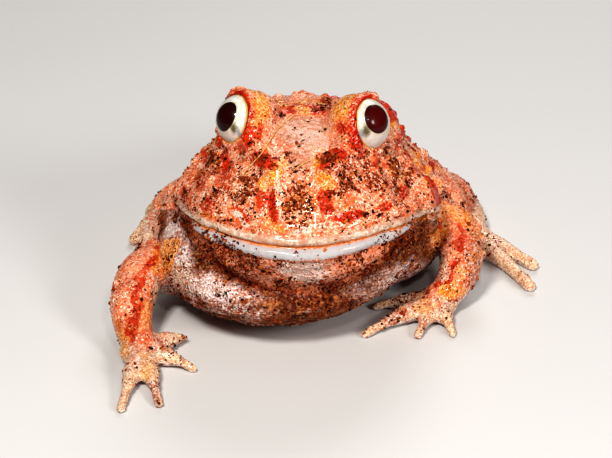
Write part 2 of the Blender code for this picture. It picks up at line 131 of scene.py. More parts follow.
def new_object(name, data):
    made = bpy.data.objects.new(name, data)
    bpy.context.scene.collection.objects.link(made)
    return made


def finished(bm, name):
    """A mesh of this name from the one being edited."""
    mesh = bpy.data.meshes.new(name)
    bm.to_mesh(mesh)
    bm.free()
    return mesh


def vertex_values(mesh, title):
    flat = np.empty(len(mesh.vertices) * 3)
    mesh.vertices.foreach_get(title, flat)
    return flat.reshape(-1, 3)


def coordinates(mesh):
    return vertex_values(mesh, "co")


def normals(mesh):
    return vertex_values(mesh, "normal")


def set_coordinates(mesh, points):
    mesh.vertices.foreach_set("co", np.ascontiguousarray(points, np.float64).ravel())
    mesh.update()


def write_channels(mesh, title, *values):
    """Stores four values from 0 to 1 for each vertex as a colour attribute; one alone fills all four."""
    attribute = mesh.color_attributes.new(title, "FLOAT_COLOR", "POINT")
    stack = np.stack(values if len(values) > 1 else values * 4, axis=1)
    attribute.data.foreach_set("color", np.clip(stack, 0, 1).astype(np.float32).ravel())


def point_tree(points):
    tree = KDTree(len(points))
    for i, point in enumerate(points):
        tree.insert(point, i)
    tree.balance()
    return tree


def turned(points, matrix):
    m = np.array(matrix)
    return points @ m[:3, :3].T + m[:3, 3]


def applied(thing):
    graph = bpy.context.evaluated_depsgraph_get()
    mesh = bpy.data.meshes.new_from_object(thing.evaluated_get(graph))
    thing.modifiers.clear()
    thing.data = mesh
    return thing


def eye_place(side):
    return HEAD @ Vector((side * EYE_X[side], EYE_BACK, EYE_UP))


def flesh_cast():
    """One closed mesh round all the flesh, in millimetres in the lips' frame, and each node's points."""
    bm = bmesh.new()
    back = TO_SCENE.inverted()
    points, owners = [], []
    for name in FLESH:
        mesh = bpy.data.objects[name].data.copy()
        mesh.transform(back)
        start = len(bm.verts)
        bm.from_mesh(mesh)
        bm.verts.ensure_lookup_table()
        for face in mesh.polygons:
            points.append(tuple(face.center))
            owners.append(FLESH.index(name))
        for vertex in bm.verts[start:]:
            points.append(tuple(vertex.co))
            owners.append(FLESH.index(name))
        bpy.data.meshes.remove(mesh)
    cast = new_object("flesh", finished(bm, "flesh"))
    swell = cast.modifiers.new("swell", "DISPLACE")
    swell.strength = SKIN_SWELL
    swell.mid_level = 0.0
    fuse = cast.modifiers.new("fuse", "REMESH")
    fuse.mode = "VOXEL"
    fuse.voxel_size = SKIN_GRID
    smooth = cast.modifiers.new("smooth", "SMOOTH")
    smooth.factor = 0.5
    smooth.iterations = 14
    shrink = cast.modifiers.new("shrink", "DISPLACE")
    shrink.strength = -SKIN_SWELL * 0.8
    shrink.mid_level = 0.0
    applied(cast)
    return cast, points, owners


def owners_of(points, seen, owners):
    tree = point_tree(seen)
    return np.array([owners[tree.find(point)[1]] for point in points])


# The mouth's line: its height in millimetres over the head's level, by the angle round the jaw in degrees
MOUTH_ANGLES = (-95, -80, -68, -55, -42, -30, -20, -10, 0, 10, 20, 30, 42, 55, 68, 80, 95)
MOUTH_HEIGHTS = (0.9, 1.5, 2.0, 1.7, 1.1, 0.4, -0.4, -1.0, -1.05, -0.65, 0.3, 1.4, 2.3, 2.5, 2.5, 2.2, 1.4)


def mouth_height(across):
    return np.interp(np.degrees(across), MOUTH_ANGLES, MOUTH_HEIGHTS)


def front_view(points):
    """Across and up in millimetres from the middle of the lips, as they appear in the main view."""
    level = points[:, 2] - LIP_HEIGHT
    deep = points[:, 1] * math.cos(VIEW_TILT) - level * math.sin(VIEW_TILT)
    high = level * math.cos(VIEW_TILT) + points[:, 1] * math.sin(VIEW_TILT)
    size = 1 + deep / VIEW_DISTANCE
    return np.c_[points[:, 0] / size, high / size]


def line_distance(flat, path):
    """The distance of flat points from a line of points."""
    best = np.full(len(flat), 1e9)
    for a, b in zip(path, path[1:]):
        a, b = np.array(a), np.array(b)
        t = np.clip(((flat - a) @ (b - a)) / ((b - a) @ (b - a)), 0, 1)
        best = np.minimum(best, np.linalg.norm(flat - a - t[:, None] * (b - a), axis=1))
    return best


# The fold under the chin, from one corner of the mouth round to the other, as seen from the front
CHIN_FOLD = [
    (-21.6, 5.4), (-20.4, 2.1), (-18.3, -1.5), (-15.4, -4.6), (-12.0, -6.9), (-6.7, -8.9),
    (0.6, -9.6), (7.3, -8.7), (12.5, -6.4), (17.0, -3.1), (20.2, 0.2), (22.6, 3.4),
]


def chin_side(flat):
    """The distance from the chin's fold, less than 0 outside it."""
    x, y = np.array(CHIN_FOLD).T
    inside = (flat[:, 1] > np.interp(flat[:, 0], x, y)) & (np.abs(flat[:, 0]) < 23)
    return line_distance(flat, CHIN_FOLD) * np.where(inside, 1, -1)


def around_jaw(local):
    return np.arctan2(local[:, 0], JAW_DEPTH - local[:, 1])


def lip_depth(across):
    """Half the depth of the lower lip in millimetres, less at the corners of the mouth."""
    return 1.35 - 0.35 * np.abs(np.sin(across))


def sculpt_mouth(local, face):
    across = around_jaw(local)
    open_part = rise(math.radians(88) - np.abs(across), 0, 0.16) * face
    narrowing = 1 + 0.9 * np.sin(across) ** 4
    u = (local[:, 2] - mouth_height(across)) * narrowing
    wave = 0.16 * np.sin(across * 9.0 + 0.6) + 0.1 * np.sin(across * 17.0)
    change = -0.62 * bump(u, 0.0, 0.3)
    change += 0.42 * bump(u, 1.15 + wave, 0.75)
    change -= 0.3 * bump(u, 2.5 + wave, 0.5)
    full = lip_depth(across)
    change += 0.6 * bump(u, -full, 0.8 * full)
    change -= 0.5 * bump(u, -2.5 * full - 0.4 * wave, 0.7)
    return change * open_part, u, across, open_part


def sculpt_face(points, local, face):
    """Brows, the hollow between them, the folds of the cheeks and the nose."""
    x, back, up = local.T
    change = np.zeros(len(points))
    across = around_jaw(local)
    front = rise(-back, -26, -14)
    # grooves that run down the cheeks from the eyes to the lip
    streaks = noise(np.c_[across * 26, up * 0.35, np.zeros(len(up))], 3.4, 5, 2)
    change += 0.34 * streaks * rise(up, 3.2, 6.5) * rise(-up, -19, -14) * rise(np.abs(across), 0.35, 0.7)
    # the flat middle of the snout with a raised edge on both sides
    snout = rise(up, 2.8, 4.5) * rise(-up, -13.5, -10.5) * front
    change -= 0.35 * snout * bump(x, 0.0, 2.3)
    change += 0.42 * snout * bump(np.abs(x), 3.5 + 0.1 * up, 0.75)
    change -= 0.3 * snout * bump(np.abs(x), 5.4 + 0.1 * up, 0.9)
    # the ridge across between the brows and the hollow in front of it
    level = bump(up, 22.0, 5.0)
    change += 0.55 * bump(back, 21.2 + 0.05 * x * x, 1.1) * bump(x, 0.0, 5.5) * level
    change -= 0.35 * bump(back, 16.0, 3.4) * bump(x, 0.0, 4.6) * bump(up, 20.0, 4.0)
    # the tips of the brows, drawn in to a point
    flat = front_view(points)
    change -= 0.45 * np.maximum(patch(flat, -13.3, 30.0, 1.4, 1.4), patch(flat, 15.4, 29.4, 1.4, 1.4))
    return change * face


def sculpt_chin(points, facing, trunk_or_head):
    """The deep fold under the chin and the roll of the throat outside it."""
    flat = front_view(points)
    side = chin_side(flat) + 0.35 * noise(points, 4.0, 33, 2)
    seen = rise(facing @ TOWARDS_VIEWER, -0.25, 0.15) * trunk_or_head
    below = 1 - rise(flat[:, 1], 3.0, 6.0)
    depth = 0.7 + 0.8 * rise(np.abs(flat[:, 0]), 4.0, 11.0)
    change = -depth * bump(side, 0.0, 0.8)
    change += 1.1 * rise(-side, 0.4, 2.8) * (1 - rise(-side, 5.0, 9.0))
    change += 0.5 * bump(side, 2.2, 1.3)
    change -= 0.35 * bump(side, 3.6, 0.6)
    wrinkles = noise(points * np.array((0.35, 1.0, 1.0)), 1.6, 35, 2)
    change += 0.16 * wrinkles * rise(side, -9, -2)
    return change * seen * below


def sculpt_nostrils(local):
    change = np.zeros(len(local))
    for side in (-1, 1):
        offset = local - np.array((side * 5.3, 5.0, 13.7))
        reach = np.sqrt((offset[:, 0] / 1.0) ** 2 + (offset[:, 2] / 0.62) ** 2 + (offset[:, 1] / 2.2) ** 2)
        change += 0.32 * bump(reach, 1.7, 0.7)
        change -= 1.0 * (1 - rise(reach, 0.35, 1.15))
        below = local - np.array((side * 5.4, 4.2, 11.2))
        change += 0.4 * np.exp(-((below / np.array((1.7, 3.0, 1.3))) ** 2).sum(1))
    return change


def hug_eyes(points, facing):
    """Draws the lids' inner edges in until they touch the eyes."""
    for side in (-1, 1):
        centre = np.array(eye_place(side))
        offset = points - centre
        reach = np.linalg.norm(offset, axis=1)
        inward = (facing * offset).sum(1) / np.maximum(reach, 1e-6) < 0.25
        close = (reach < EYE_RADIUS + 0.85) & inward
        points[close] = centre + offset[close] / reach[close, None] * (EYE_RADIUS - 0.12)
    return points


def wart_field(points, facing, allowed, count, spacing, radius, height, seed, sharp):
    """Raised tubercles on the allowed points: the lift of every point."""
    draw = np.random.default_rng(seed)
    order = draw.permutation(np.flatnonzero(draw.random(len(points)) < allowed))
    tree = point_tree(points)
    lift = np.zeros(len(points))
    cells = set()
    made = 0
    for index in order:
        if made >= count:
            break
        centre = points[index]
        cell = tuple(np.floor(centre / spacing).astype(int))
        if cell in cells:
            continue
        cells.add(cell)
        made += 1
        r = radius[0] + (radius[1] - radius[0]) * draw.random() ** 1.6
        a = height * (r / radius[1]) * draw.uniform(0.7, 1.2)
        for _, near, distance in tree.find_range(centre, r):
            if facing[near] @ facing[index] < 0.2:
                continue
            t = 1 - (distance / r) ** 2
            lift[near] = max(lift[near], a * t**sharp)
    return lift


def skin_object():
    """One closed skin over all the flesh, with the folds, tubercles and grains."""
    cast, seen, owners = flesh_cast()
    mesh = cast.data
    points = coordinates(mesh)
    owner = owners_of(points, seen, owners)
    name = np.array(FLESH)[owner]
    head_part = np.isin(name, ["head", "lower_jaw"])
    face = head_part.astype(float)
    to_head = HEAD.inverted()

    points = hug_eyes(points, normals(mesh))
    set_coordinates(mesh, points)
    local = turned(points, to_head)
    lip_change, u, across, open_part = sculpt_mouth(local, face)
    facing = normals(mesh)
    change = lip_change + sculpt_face(points, local, face) + sculpt_nostrils(local) * face
    change += sculpt_chin(points, facing, np.isin(name, ["head", "lower_jaw", "torso"]).astype(float))
    near_eye = np.zeros(len(points))
    for side in (-1, 1):
        reach = np.linalg.norm(points - np.array(eye_place(side)), axis=1)
        near_eye = np.maximum(near_eye, 1 - rise(reach, EYE_RADIUS + 0.5, EYE_RADIUS + 1.6))
    points = points + facing * (change * (1 - near_eye))[:, None]
    set_coordinates(mesh, points)

    facing = normals(mesh)
    local = turned(points, to_head)
    x, back, up = local.T
    height = points[:, 2]
    lips = open_part * bump(u, -0.6, 3.0)
    trunk = name == "torso"
    leg = ~head_part & ~trunk
    upper = rise(facing[:, 2], -0.25, 0.3)
    low_part = 1 - upper
    # big tubercles on the back, the flanks and behind the eyes
    cheek = head_part & (np.abs(x) > 14) & (up > 4)
    behind = head_part & (back > 24) & (up > 6)
    thick = leg & ~np.char.startswith(name, "hand") & ~np.char.startswith(name, "foot")
    where = 0.06 * (trunk * rise(height, 3, 9) * upper + 0.55 * cheek + 0.8 * behind + 0.3 * thick * upper)
    where *= 1 - near_eye
    warts = wart_field(
        points, facing, where, count=400, spacing=2.5, radius=(0.8, 1.7), height=0.95, seed=3, sharp=1.35
    )
    # small ones all over the upper side
    where = 0.3 * upper * (trunk + head_part * rise(up, 3.5, 6) + 0.8 * leg) * (1 - lips) * (1 - near_eye)
    small = wart_field(
        points, facing, where, count=3800, spacing=0.9, radius=(0.35, 0.7), height=0.17, seed=11, sharp=1.2
    )
    # grains of the throat, the chest and the belly
    pale = rise(-u, 3.5, 5.0) * head_part + trunk * low_part
    where = 0.4 * pale * (height > 0.6)
    grain = wart_field(
        points, facing, where, count=3600, spacing=0.9, radius=(0.4, 0.7), height=0.2, seed=19, sharp=1.0
    )
    total = most(warts, small, grain)
    total += 0.05 * noise(points, 0.9, 41, 2)
    # nothing swells under the floor
    total *= rise(height, 0.15, 1.0)
    points = points + facing * total[:, None]
    points[:, 2] = np.maximum(points[:, 2], 0.01)
    set_coordinates(mesh, points)
    paint(mesh, points, normals(mesh), local, name, u, across, open_part, near_eye)
    cast.name = "skin"
    mesh.name = "skin"
    mesh.transform(TO_SCENE)
    mesh.shade_smooth()
    return cast


def limb_mask(points, path, radius):
    """Nearness to a line of points, 1 on it and 0 from radius on."""
    return 1 - rise(line_distance(points, path), radius * 0.45, radius)


def patch(flat, across, up, wide, high, tilt=0.0):
    """1 in the middle of an ellipse in the front view, fading to 0 a little outside it."""
    a = math.radians(tilt)
    x, y = flat[:, 0] - across, flat[:, 1] - up
    along, over = x * math.cos(a) + y * math.sin(a), y * math.cos(a) - x * math.sin(a)
    return 1 - rise(np.hypot(along / wide, over / high), 0.6, 1.3)


def patches(flat, rows):
    """Several patches at once; the last number of each row is its strength."""
    return most(*(strength * patch(flat, *shape) for *shape, strength in rows))


# Patches of colour in the main view: across, up, half their width and height, tilt in degrees, strength
RED_PATCHES = [
    (-6.4, 16.0, 3.0, 1.8, -24, 1.0), (-7.9, 22.4, 1.8, 2.2, 0, 0.9), (-10.4, 18.9, 2.4, 1.0, 25, 1.0),
    (-13.7, 15.6, 0.9, 3.1, -6, 1.0), (-17.9, 16.4, 1.0, 1.7, 30, 0.85), (-18.7, 11.8, 1.6, 2.3, 0, 0.65),
    (-17.4, 7.2, 1.5, 1.2, 0, 0.8), (-4.8, 6.9, 1.2, 3.4, 2, 1.0), (-6.9, 8.3, 1.5, 2.3, 0, 0.8),
    (-11.0, 5.2, 2.8, 1.1, -26, 0.85), (7.3, 16.8, 2.9, 1.5, 8, 1.0), (4.8, 15.0, 1.9, 1.2, 5, 1.0),
    (8.8, 22.4, 1.6, 2.0, 0, 0.95), (5.7, 7.9, 1.9, 2.8, 0, 0.9), (6.6, 12.1, 0.6, 2.3, 8, 0.8),
    (10.2, 5.4, 4.0, 1.3, 8, 0.95), (17.0, 6.8, 1.8, 1.0, 10, 0.8), (15.2, 16.6, 0.9, 2.8, 4, 0.85),
    (20.6, 10.2, 1.1, 2.3, -15, 0.8), (19.6, 19.8, 0.8, 2.4, -25, 0.7), (1.2, 25.4, 5.0, 1.1, 0, 0.95),
    (11.2, 18.3, 2.0, 0.9, -30, 0.8), (-15.0, 19.8, 0.8, 1.6, -10, 0.9), (-21.5, 9.0, 1.2, 2.6, 10, 0.6),
    (22.8, 15.0, 0.9, 2.6, -20, 0.6), (-20.6, 12.6, 1.0, 2.2, 15, 0.5), (-13.2, 29.6, 0.9, 1.3, 0, 0.7),
    (15.6, 29.2, 1.0, 1.2, 0, 0.7),
]
YELLOW_PATCHES = [
    (-5.0, 12.6, 3.4, 1.5, 38, 0.95), (5.6, 12.0, 2.6, 1.6, -30, 0.9), (-3.1, 15.2, 1.4, 1.0, 20, 0.9),
    (3.6, 15.0, 1.0, 1.0, 0, 0.9), (-8.4, 26.6, 3.3, 4.4, 12, 1.0), (10.2, 26.6, 3.8, 4.2, -14, 1.0),
    (1.0, 25.2, 1.9, 1.0, 0, 1.0), (-3.9, 3.1, 1.1, 0.9, 0, 0.9), (-5.6, 4.0, 1.6, 1.5, 0, 0.6),
    (-17.1, 5.2, 2.8, 0.5, -12, 0.8), (18.1, 15.6, 0.6, 2.6, 4, 0.7), (0.0, 7.8, 1.4, 2.6, 0, 0.5),
    (8.0, 8.8, 1.6, 1.8, 0, 0.35), (-9.0, 13.0, 1.6, 3.0, 0, 0.3), (20.8, 12.4, 0.8, 1.6, 0, 0.6),
]
# Clean white skin on the roll outside the chin's fold
WHITE_PATCHES = [
    (-15.5, -9.0, 8.5, 3.2, -12, 1.0), (19.8, -6.4, 5.4, 2.4, 25, 1.0), (-23.0, -0.5, 2.6, 7.0, 8, 1.0),
    (14.5, -8.6, 5.5, 2.2, 15, 0.5),
]
SMOOTH_PATCHES = [
    (1.4, 21.4, 5.6, 3.4, 0, 1.0), (0.4, 16.6, 2.6, 2.6, 0, 0.8), (0.0, 12.2, 1.7, 2.2, 0, 0.4),
]
# Painted highlights along the raised edges of the snout, and half their width
RIDGE_HIGHLIGHTS = [
    ([(-4.0, 14.4), (-3.6, 12.0), (-3.3, 9.0), (-3.2, 5.6), (-2.4, 3.6)], 0.36),
    ([(3.3, 11.0), (3.0, 8.4), (2.9, 6.0), (3.6, 3.8)], 0.36),
    ([(-2.6, 3.7), (0.4, 3.3), (3.4, 3.6)], 0.48),
]
LEFT_ARM_STREAK = [(-27.6, -1.5), (-29.4, -5.4), (-31.2, -10.0), (-31.8, -15.0), (-31.4, -19.0)]
RIGHT_ARM_STREAK = [(31.4, 3.6), (30.6, -3.3), (29.5, -7.1), (26.6, -9.2), (22.7, -10.6), (17.6, -13.4)]
# Yellow on the limbs: across, up, half width and height, and the parts it shows on
LIMB_YELLOW = [
    (-26.4, -3.6, 2.4, 4.4, "arm_left"), (-33.6, -20.0, 1.6, 4.0, "arm_left"),
    (-29.0, -23.5, 1.3, 3.6, "arm_left"), (32.0, 5.4, 3.0, 1.6, "arm_right"),
    (27.6, 2.4, 1.5, 2.6, "arm_right"), (24.5, -12.4, 3.2, 1.4, "arm_right"),
    (29.8, -9.4, 2.8, 2.2, "arm_right"), (40.0, 1.6, 4.6, 3.4, "foot_right"),
    (37.5, 3.0, 3.5, 4.0, "shank_right"),
]


def lid_masks(points, side, warp):
    """Round one eye: the lid's whole ring, its upper and inner part, its edge and its thin rim."""
    offset = points - np.array(eye_place(side))
    reach = np.linalg.norm(offset, axis=1)
    opening = np.array(HEAD.to_3x3() @ Vector((side * 0.80, -0.56, 0.21)))
    outward = rise(offset @ opening + 0.25 * warp[:, 0], 0.1, 0.9)
    broad = 0.75 + 1.7 * rise(-offset[:, 2], -2.0, 3.0)
    ring = (1 - rise(reach - broad, EYE_RADIUS - 0.1, EYE_RADIUS + 0.7)) * outward
    edge = 1 - rise(reach, EYE_RADIUS + 0.05, EYE_RADIUS + 0.35)
    part = most(rise(offset[:, 2], -2.5, 0.0), rise(-side * offset[:, 0], -1.5, 1.0))
    thin = (1 - rise(reach, EYE_RADIUS + 0.45, EYE_RADIUS + 1.05)) * outward
    return ring, ring * part, edge, thin * part


def lip_masks(points, sideways, u, across, open_part):
    """The upper lip, the lower lip and the line between them."""
    full = lip_depth(across)
    ragged = 0.25 * noise(points, 1.4, 87, 2)
    upper_lip = open_part * rise(u, 0.12, 0.4) * (1 - rise(u + ragged, 1.5, 2.4))
    lower_lip = open_part * rise(-u, 0.1, 0.3) * (1 - rise(-u + ragged, 1.35 * full, 2.35 * full))
    lower_lip *= rise(sideways, -21.4, -19.6) * (1 - rise(sideways, 20.6, 23.0))
    return upper_lip, lower_lip, open_part * bump(u, 0.12, 0.3)


def paint(mesh, points, facing, local, name, u, across, open_part, near_eye):
    """Where the skin is red, yellow, pale, smooth, soiled or darkened with painted shade, clean, wet or
    lip, and where painted highlights lie, as colour attributes.
    """
    x, back, up = local.T
    head = name == "head"
    jaw = name == "lower_jaw"
    trunk = name == "torso"
    limb = ~(head | jaw | trunk)
    digit = np.isin(name, ["hand_left", "hand_right", "foot_left", "foot_right"])
    upper = rise(facing[:, 2], -0.3, 0.35)
    warp = np.c_[noise(points, 3, 51, 2), noise(points, 3, 52, 2), noise(points, 3, 53, 2)]
    moved = points + 1.6 * warp
    flat = front_view(points + 0.55 * warp)
    seen = rise(facing @ TOWARDS_VIEWER, -0.35, 0.1)

    # the blotches of the back, red within and yellow at the rim
    blotch = noise(moved * np.array((1.0, 0.75, 1.0)), 11, 61, 3)
    dapple = noise(moved, 3.6, 62, 2)
    back_part = trunk * upper + 0.85 * limb * upper + head * rise(back, 20, 27)
    red = (rise(blotch, 0.1, 0.3) + 0.5 * rise(dapple, 0.2, 0.5)) * back_part * np.where(limb, 0.35, 1.0)
    yellow = (rise(blotch, -0.12, 0.1) - rise(blotch, 0.2, 0.4)) * 0.8 * back_part
    red += (0.38 + 0.2 * rise(np.abs(x), 9, 14)) * rise(dapple, 0.2, 0.6) * head * rise(-back, -24, -18)

    face = head * seen
    red = most(red, patches(flat, RED_PATCHES) * face)
    for *shape, strength in YELLOW_PATCHES:
        here = strength * patch(flat, *shape) * face
        yellow = most(yellow, here)
        red *= 1 - 0.8 * here * (up > 9)
    smooth = patches(flat, SMOOTH_PATCHES) * face
    red *= 1 - smooth * (1 - patch(flat, 1.2, 25.4, 5.0, 1.1))

    # the lids: a saturated red rim round the upper and inner edge, yellowish next to the eye
    lids = np.zeros(len(points))
    for side in (-1, 1):
        ring, rim, edge, thin = lid_masks(points, side, warp)
        red = most(red * (1 - 0.3 * ring), rim)
        yellow = most(yellow * (1 - rim), edge * 0.9)
        red *= 1 - 0.9 * edge
        smooth = most(smooth, rim * 0.8)
        lids = most(lids, thin)

    # the legs: red streaks down the forearms, yellow at the elbows, pale fingers and toes
    parts = {
        "arm_left": np.isin(name, ["forearm_left", "hand_left", "upper_arm_left"]),
        "arm_right": np.isin(name, ["forearm_right", "hand_right", "upper_arm_right"]),
        "foot_right": name == "foot_right",
        "shank_right": name == "shank_right",
    }
    flecked = 0.55 + 0.6 * rise(noise(points, 1.6, 63, 2), -0.5, 0.4)
    wandering = flat + 0.9 * warp[:, :2]
    wavy = flat + 0.5 * warp[:, :2]
    for part, path, half_width, strength, kept in (
        ("arm_left", LEFT_ARM_STREAK, 1.35, 1.0, 0.8),
        ("arm_right", RIGHT_ARM_STREAK, 1.1, 0.8, 0.4),
    ):
        streak = strength * limb_mask(wandering, path, half_width) * seen * flecked
        red = np.where(parts[part], most(kept * red * seen, streak), red)
    for *shape, part in LIMB_YELLOW:
        yellow = np.where(parts[part], most(yellow, 0.95 * patch(flat, *shape) * seen), yellow)
    tips = digit * rise(-points[:, 2], -7.0, -2.6)
    inner = seen * most(
        patch(wavy, -27.0, -12.5, 1.7, 6.5) * parts["arm_left"],
        0.8 * patch(flat, 27.6, -4.6, 1.4, 3.6, 10) * parts["arm_right"],
        0.9 * parts["foot_right"] + 0.4 * parts["shank_right"],
    )
    outer = 0.55 * patch(wavy, 34.2, -3.5, 1.8, 6.5) * parts["arm_right"] * seen
    pale = most(tips * (0.75 + 0.25 * rise(dapple, -0.3, 0.3)), 0.85 * inner, outer)
    clean = most(tips * rise(dapple, -0.9, 0.2), inner, outer)
    yellow = most(yellow * (1 - 0.5 * inner), 0.6 * inner, 0.6 * tips)

    # the underside, the throat and the roll of pale skin outside the chin's fold
    under = (trunk | limb) * (1 - rise(facing[:, 2], -0.5, 0.05))
    fold = chin_side(front_view(points))
    chin = jaw * rise(-u, 2.6, 3.6) * rise(fold, -0.8, 0.6) * seen
    throat = jaw * rise(-u, 2.6, 4.5) * (1 - chin)
    low_body = trunk | jaw
    outside = low_body * rise(-fold, -0.5, 1.0) * (flat[:, 1] < 6) * (np.abs(flat[:, 0]) < 27) * seen
    pale = most(pale, under * 0.85, throat * 0.8, outside * 0.9)
    keep = 1 - most(under * 0.9, throat * 0.95, chin, outside * 0.85)
    red *= keep
    yellow *= keep
    smooth = most(smooth, 0.45 * chin)
    shoulder = most(patch(wavy, -25.4, -2.6, 2.6, 3.6) * low_body, patch(flat, 26.6, 1.0, 1.6, 2.6) * trunk)
    shoulder *= seen
    beside = patch(wavy, -23.4, -6.6, 3.2, 3.4) * low_body * seen
    yellow = most(yellow, 0.9 * shoulder, 0.35 * beside)
    pale *= 1 - shoulder

    # brown skin, partly soil and partly painted shade: the chin, the fold itself, the throat's right and
    # lower part
    cloud = noise(moved, 5.0, 85, 3)
    # the chin is less brown where its painted highlight lies
    lit = patch(wavy, 1.4, -4.6, 6.2, 1.9)
    white = patches(flat, WHITE_PATCHES)
    # painted shade: the throat and the body darker towards the floor
    low = 1 - rise(points[:, 2], 1.5, 7.0)
    grime_and_painted_shade = most(
        # the chin, partly painted shade: browner towards the sides, less so under its painted highlight
        chin * (0.44 - 0.44 * lit) * (0.5 + 0.5 * rise(np.abs(flat[:, 0]), 3.0, 10.0)),
        # a dark line along the fold, partly soil and partly painted shade in the crease
        bump(fold, 0.0, 1.4) * low_body * seen * (flat[:, 1] < 5),
        outside * (1.0 - 0.95 * white) * rise(cloud, -0.9, -0.1),
        low * low_body * 0.95,
        0.34 * limb * (1 - tips) * rise(cloud, -0.6, 0.3),
    )
    grime_and_painted_shade *= 1 - most(shoulder, 0.8 * beside)
    clean = most(clean, outside * white * rise(dapple, -0.7, 0.3), beside)

    # soil rubbed into the corners of the mouth, the cheeks and the folds, and painted shade: dark patches
    # on the throat below the mouth's corners and darker towards the floor
    rub = noise(moved, 4.5, 81, 3)
    corner = most(patch(flat, -21.0, 4.8, 3.2, 2.2), patch(flat, 20.4, 3.9, 4.2, 1.4, 12))
    # painted shade: two darker patches on the throat below the corners of the mouth
    shaded = most(patch(flat, 20.5, 0.4, 6.0, 2.3, 14), patch(flat, -15.5, -0.6, 4.6, 2.2, -35)) * low_body
    grime_and_painted_shade = most(grime_and_painted_shade, 0.9 * shaded * seen)
    below_crumbs = [(*shape, 0.2 * min(strength, 3.0)) for *shape, strength in SOIL_PATCHES]
    stain_and_painted_shade = most(
        corner * 0.95 * (head | jaw),
        0.95 * shaded,
        0.45 * chin * rise(rub, -0.8, 0.1),
        bump(fold, 0.1, 1.6) * low_body * seen,
        0.55 * outside * rise(rub, -0.7, 0.3),
        patches(flat, below_crumbs) * face,
        (trunk | limb | head) * 0.35 * rise(rub, 0.0, 0.7),
        low * low_body * 0.85,
    )
    stain_and_painted_shade *= 1 - 0.7 * smooth

    # the lips, and painted highlights on the upper lip, the chin and the ridges of the snout
    upper_lip, lower_lip, line = lip_masks(points, flat[:, 0], u, across, open_part)
    # painted highlights on the upper lip, in its middle and towards the left, which are also glossier
    gloss_and_highlight_spot = head * most(
        patch(wandering, 0.4, 2.0, 2.6, 1.2), patch(wandering, -11.0, 3.9, 2.6, 0.7, -25)
    )
    blotchy = rise(noise(np.c_[flat[:, 0] * 0.45, flat[:, 1], flat[:, 0] * 0], 1.9, 88, 2), -0.25, 0.25)
    # a painted highlight in the middle of the chin, pale and smooth like the lips
    painted_chin_highlight = patch(wavy, 1.0, -4.7, 5.2, 2.5) * chin
    pale = most(pale, painted_chin_highlight)
    # painted highlights along the snout's ridges, broken into glints
    painted_glints = rise(noise(points, 1.1, 89, 2), -0.5, 0.1)
    ridge_highlights = most(*(limb_mask(flat + 0.4 * warp[:, :2], path, width) for path, width in RIDGE_HIGHLIGHTS))
    # pale blotches on the upper lip, and the painted highlights
    light = most(0.8 * gloss_and_highlight_spot, 0.5 * upper_lip * blotchy, 0.72 * painted_chin_highlight, ridge_highlights * painted_glints * face)
    # the lips and the chin's painted highlight, kept clear of red, yellow and brown
    lip = most(upper_lip, lower_lip, 0.8 * painted_chin_highlight)
    red *= 1 - most(lip, gloss_and_highlight_spot * 0.8)
    yellow *= 1 - most(lip, gloss_and_highlight_spot * 0.8)
    grime_and_painted_shade *= 1 - lip
    pale *= 1 - 0.5 * upper_lip
    stain_and_painted_shade *= 1 - most(0.92 * lower_lip, 0.75 * upper_lip) * rise(1.15 - np.abs(across), 0, 0.3)
    stain_and_painted_shade = most(stain_and_painted_shade, 0.8 * open_part * bump(-u, 2.2 * lip_depth(across), 0.45) * (1 - painted_chin_highlight))
    smooth = most(smooth, lip)
    shine = most(lower_lip, 0.7 * upper_lip, 0.4 * near_eye, 0.5 * gloss_and_highlight_spot)

    write_channels(mesh, "tints", red, yellow, pale, smooth)
    write_channels(mesh, "finish", stain_and_painted_shade, clean, shine, grime_and_painted_shade)
    write_channels(mesh, "mouth", upper_lip, lower_lip, line, light)
    write_channels(mesh, "lids", lids)


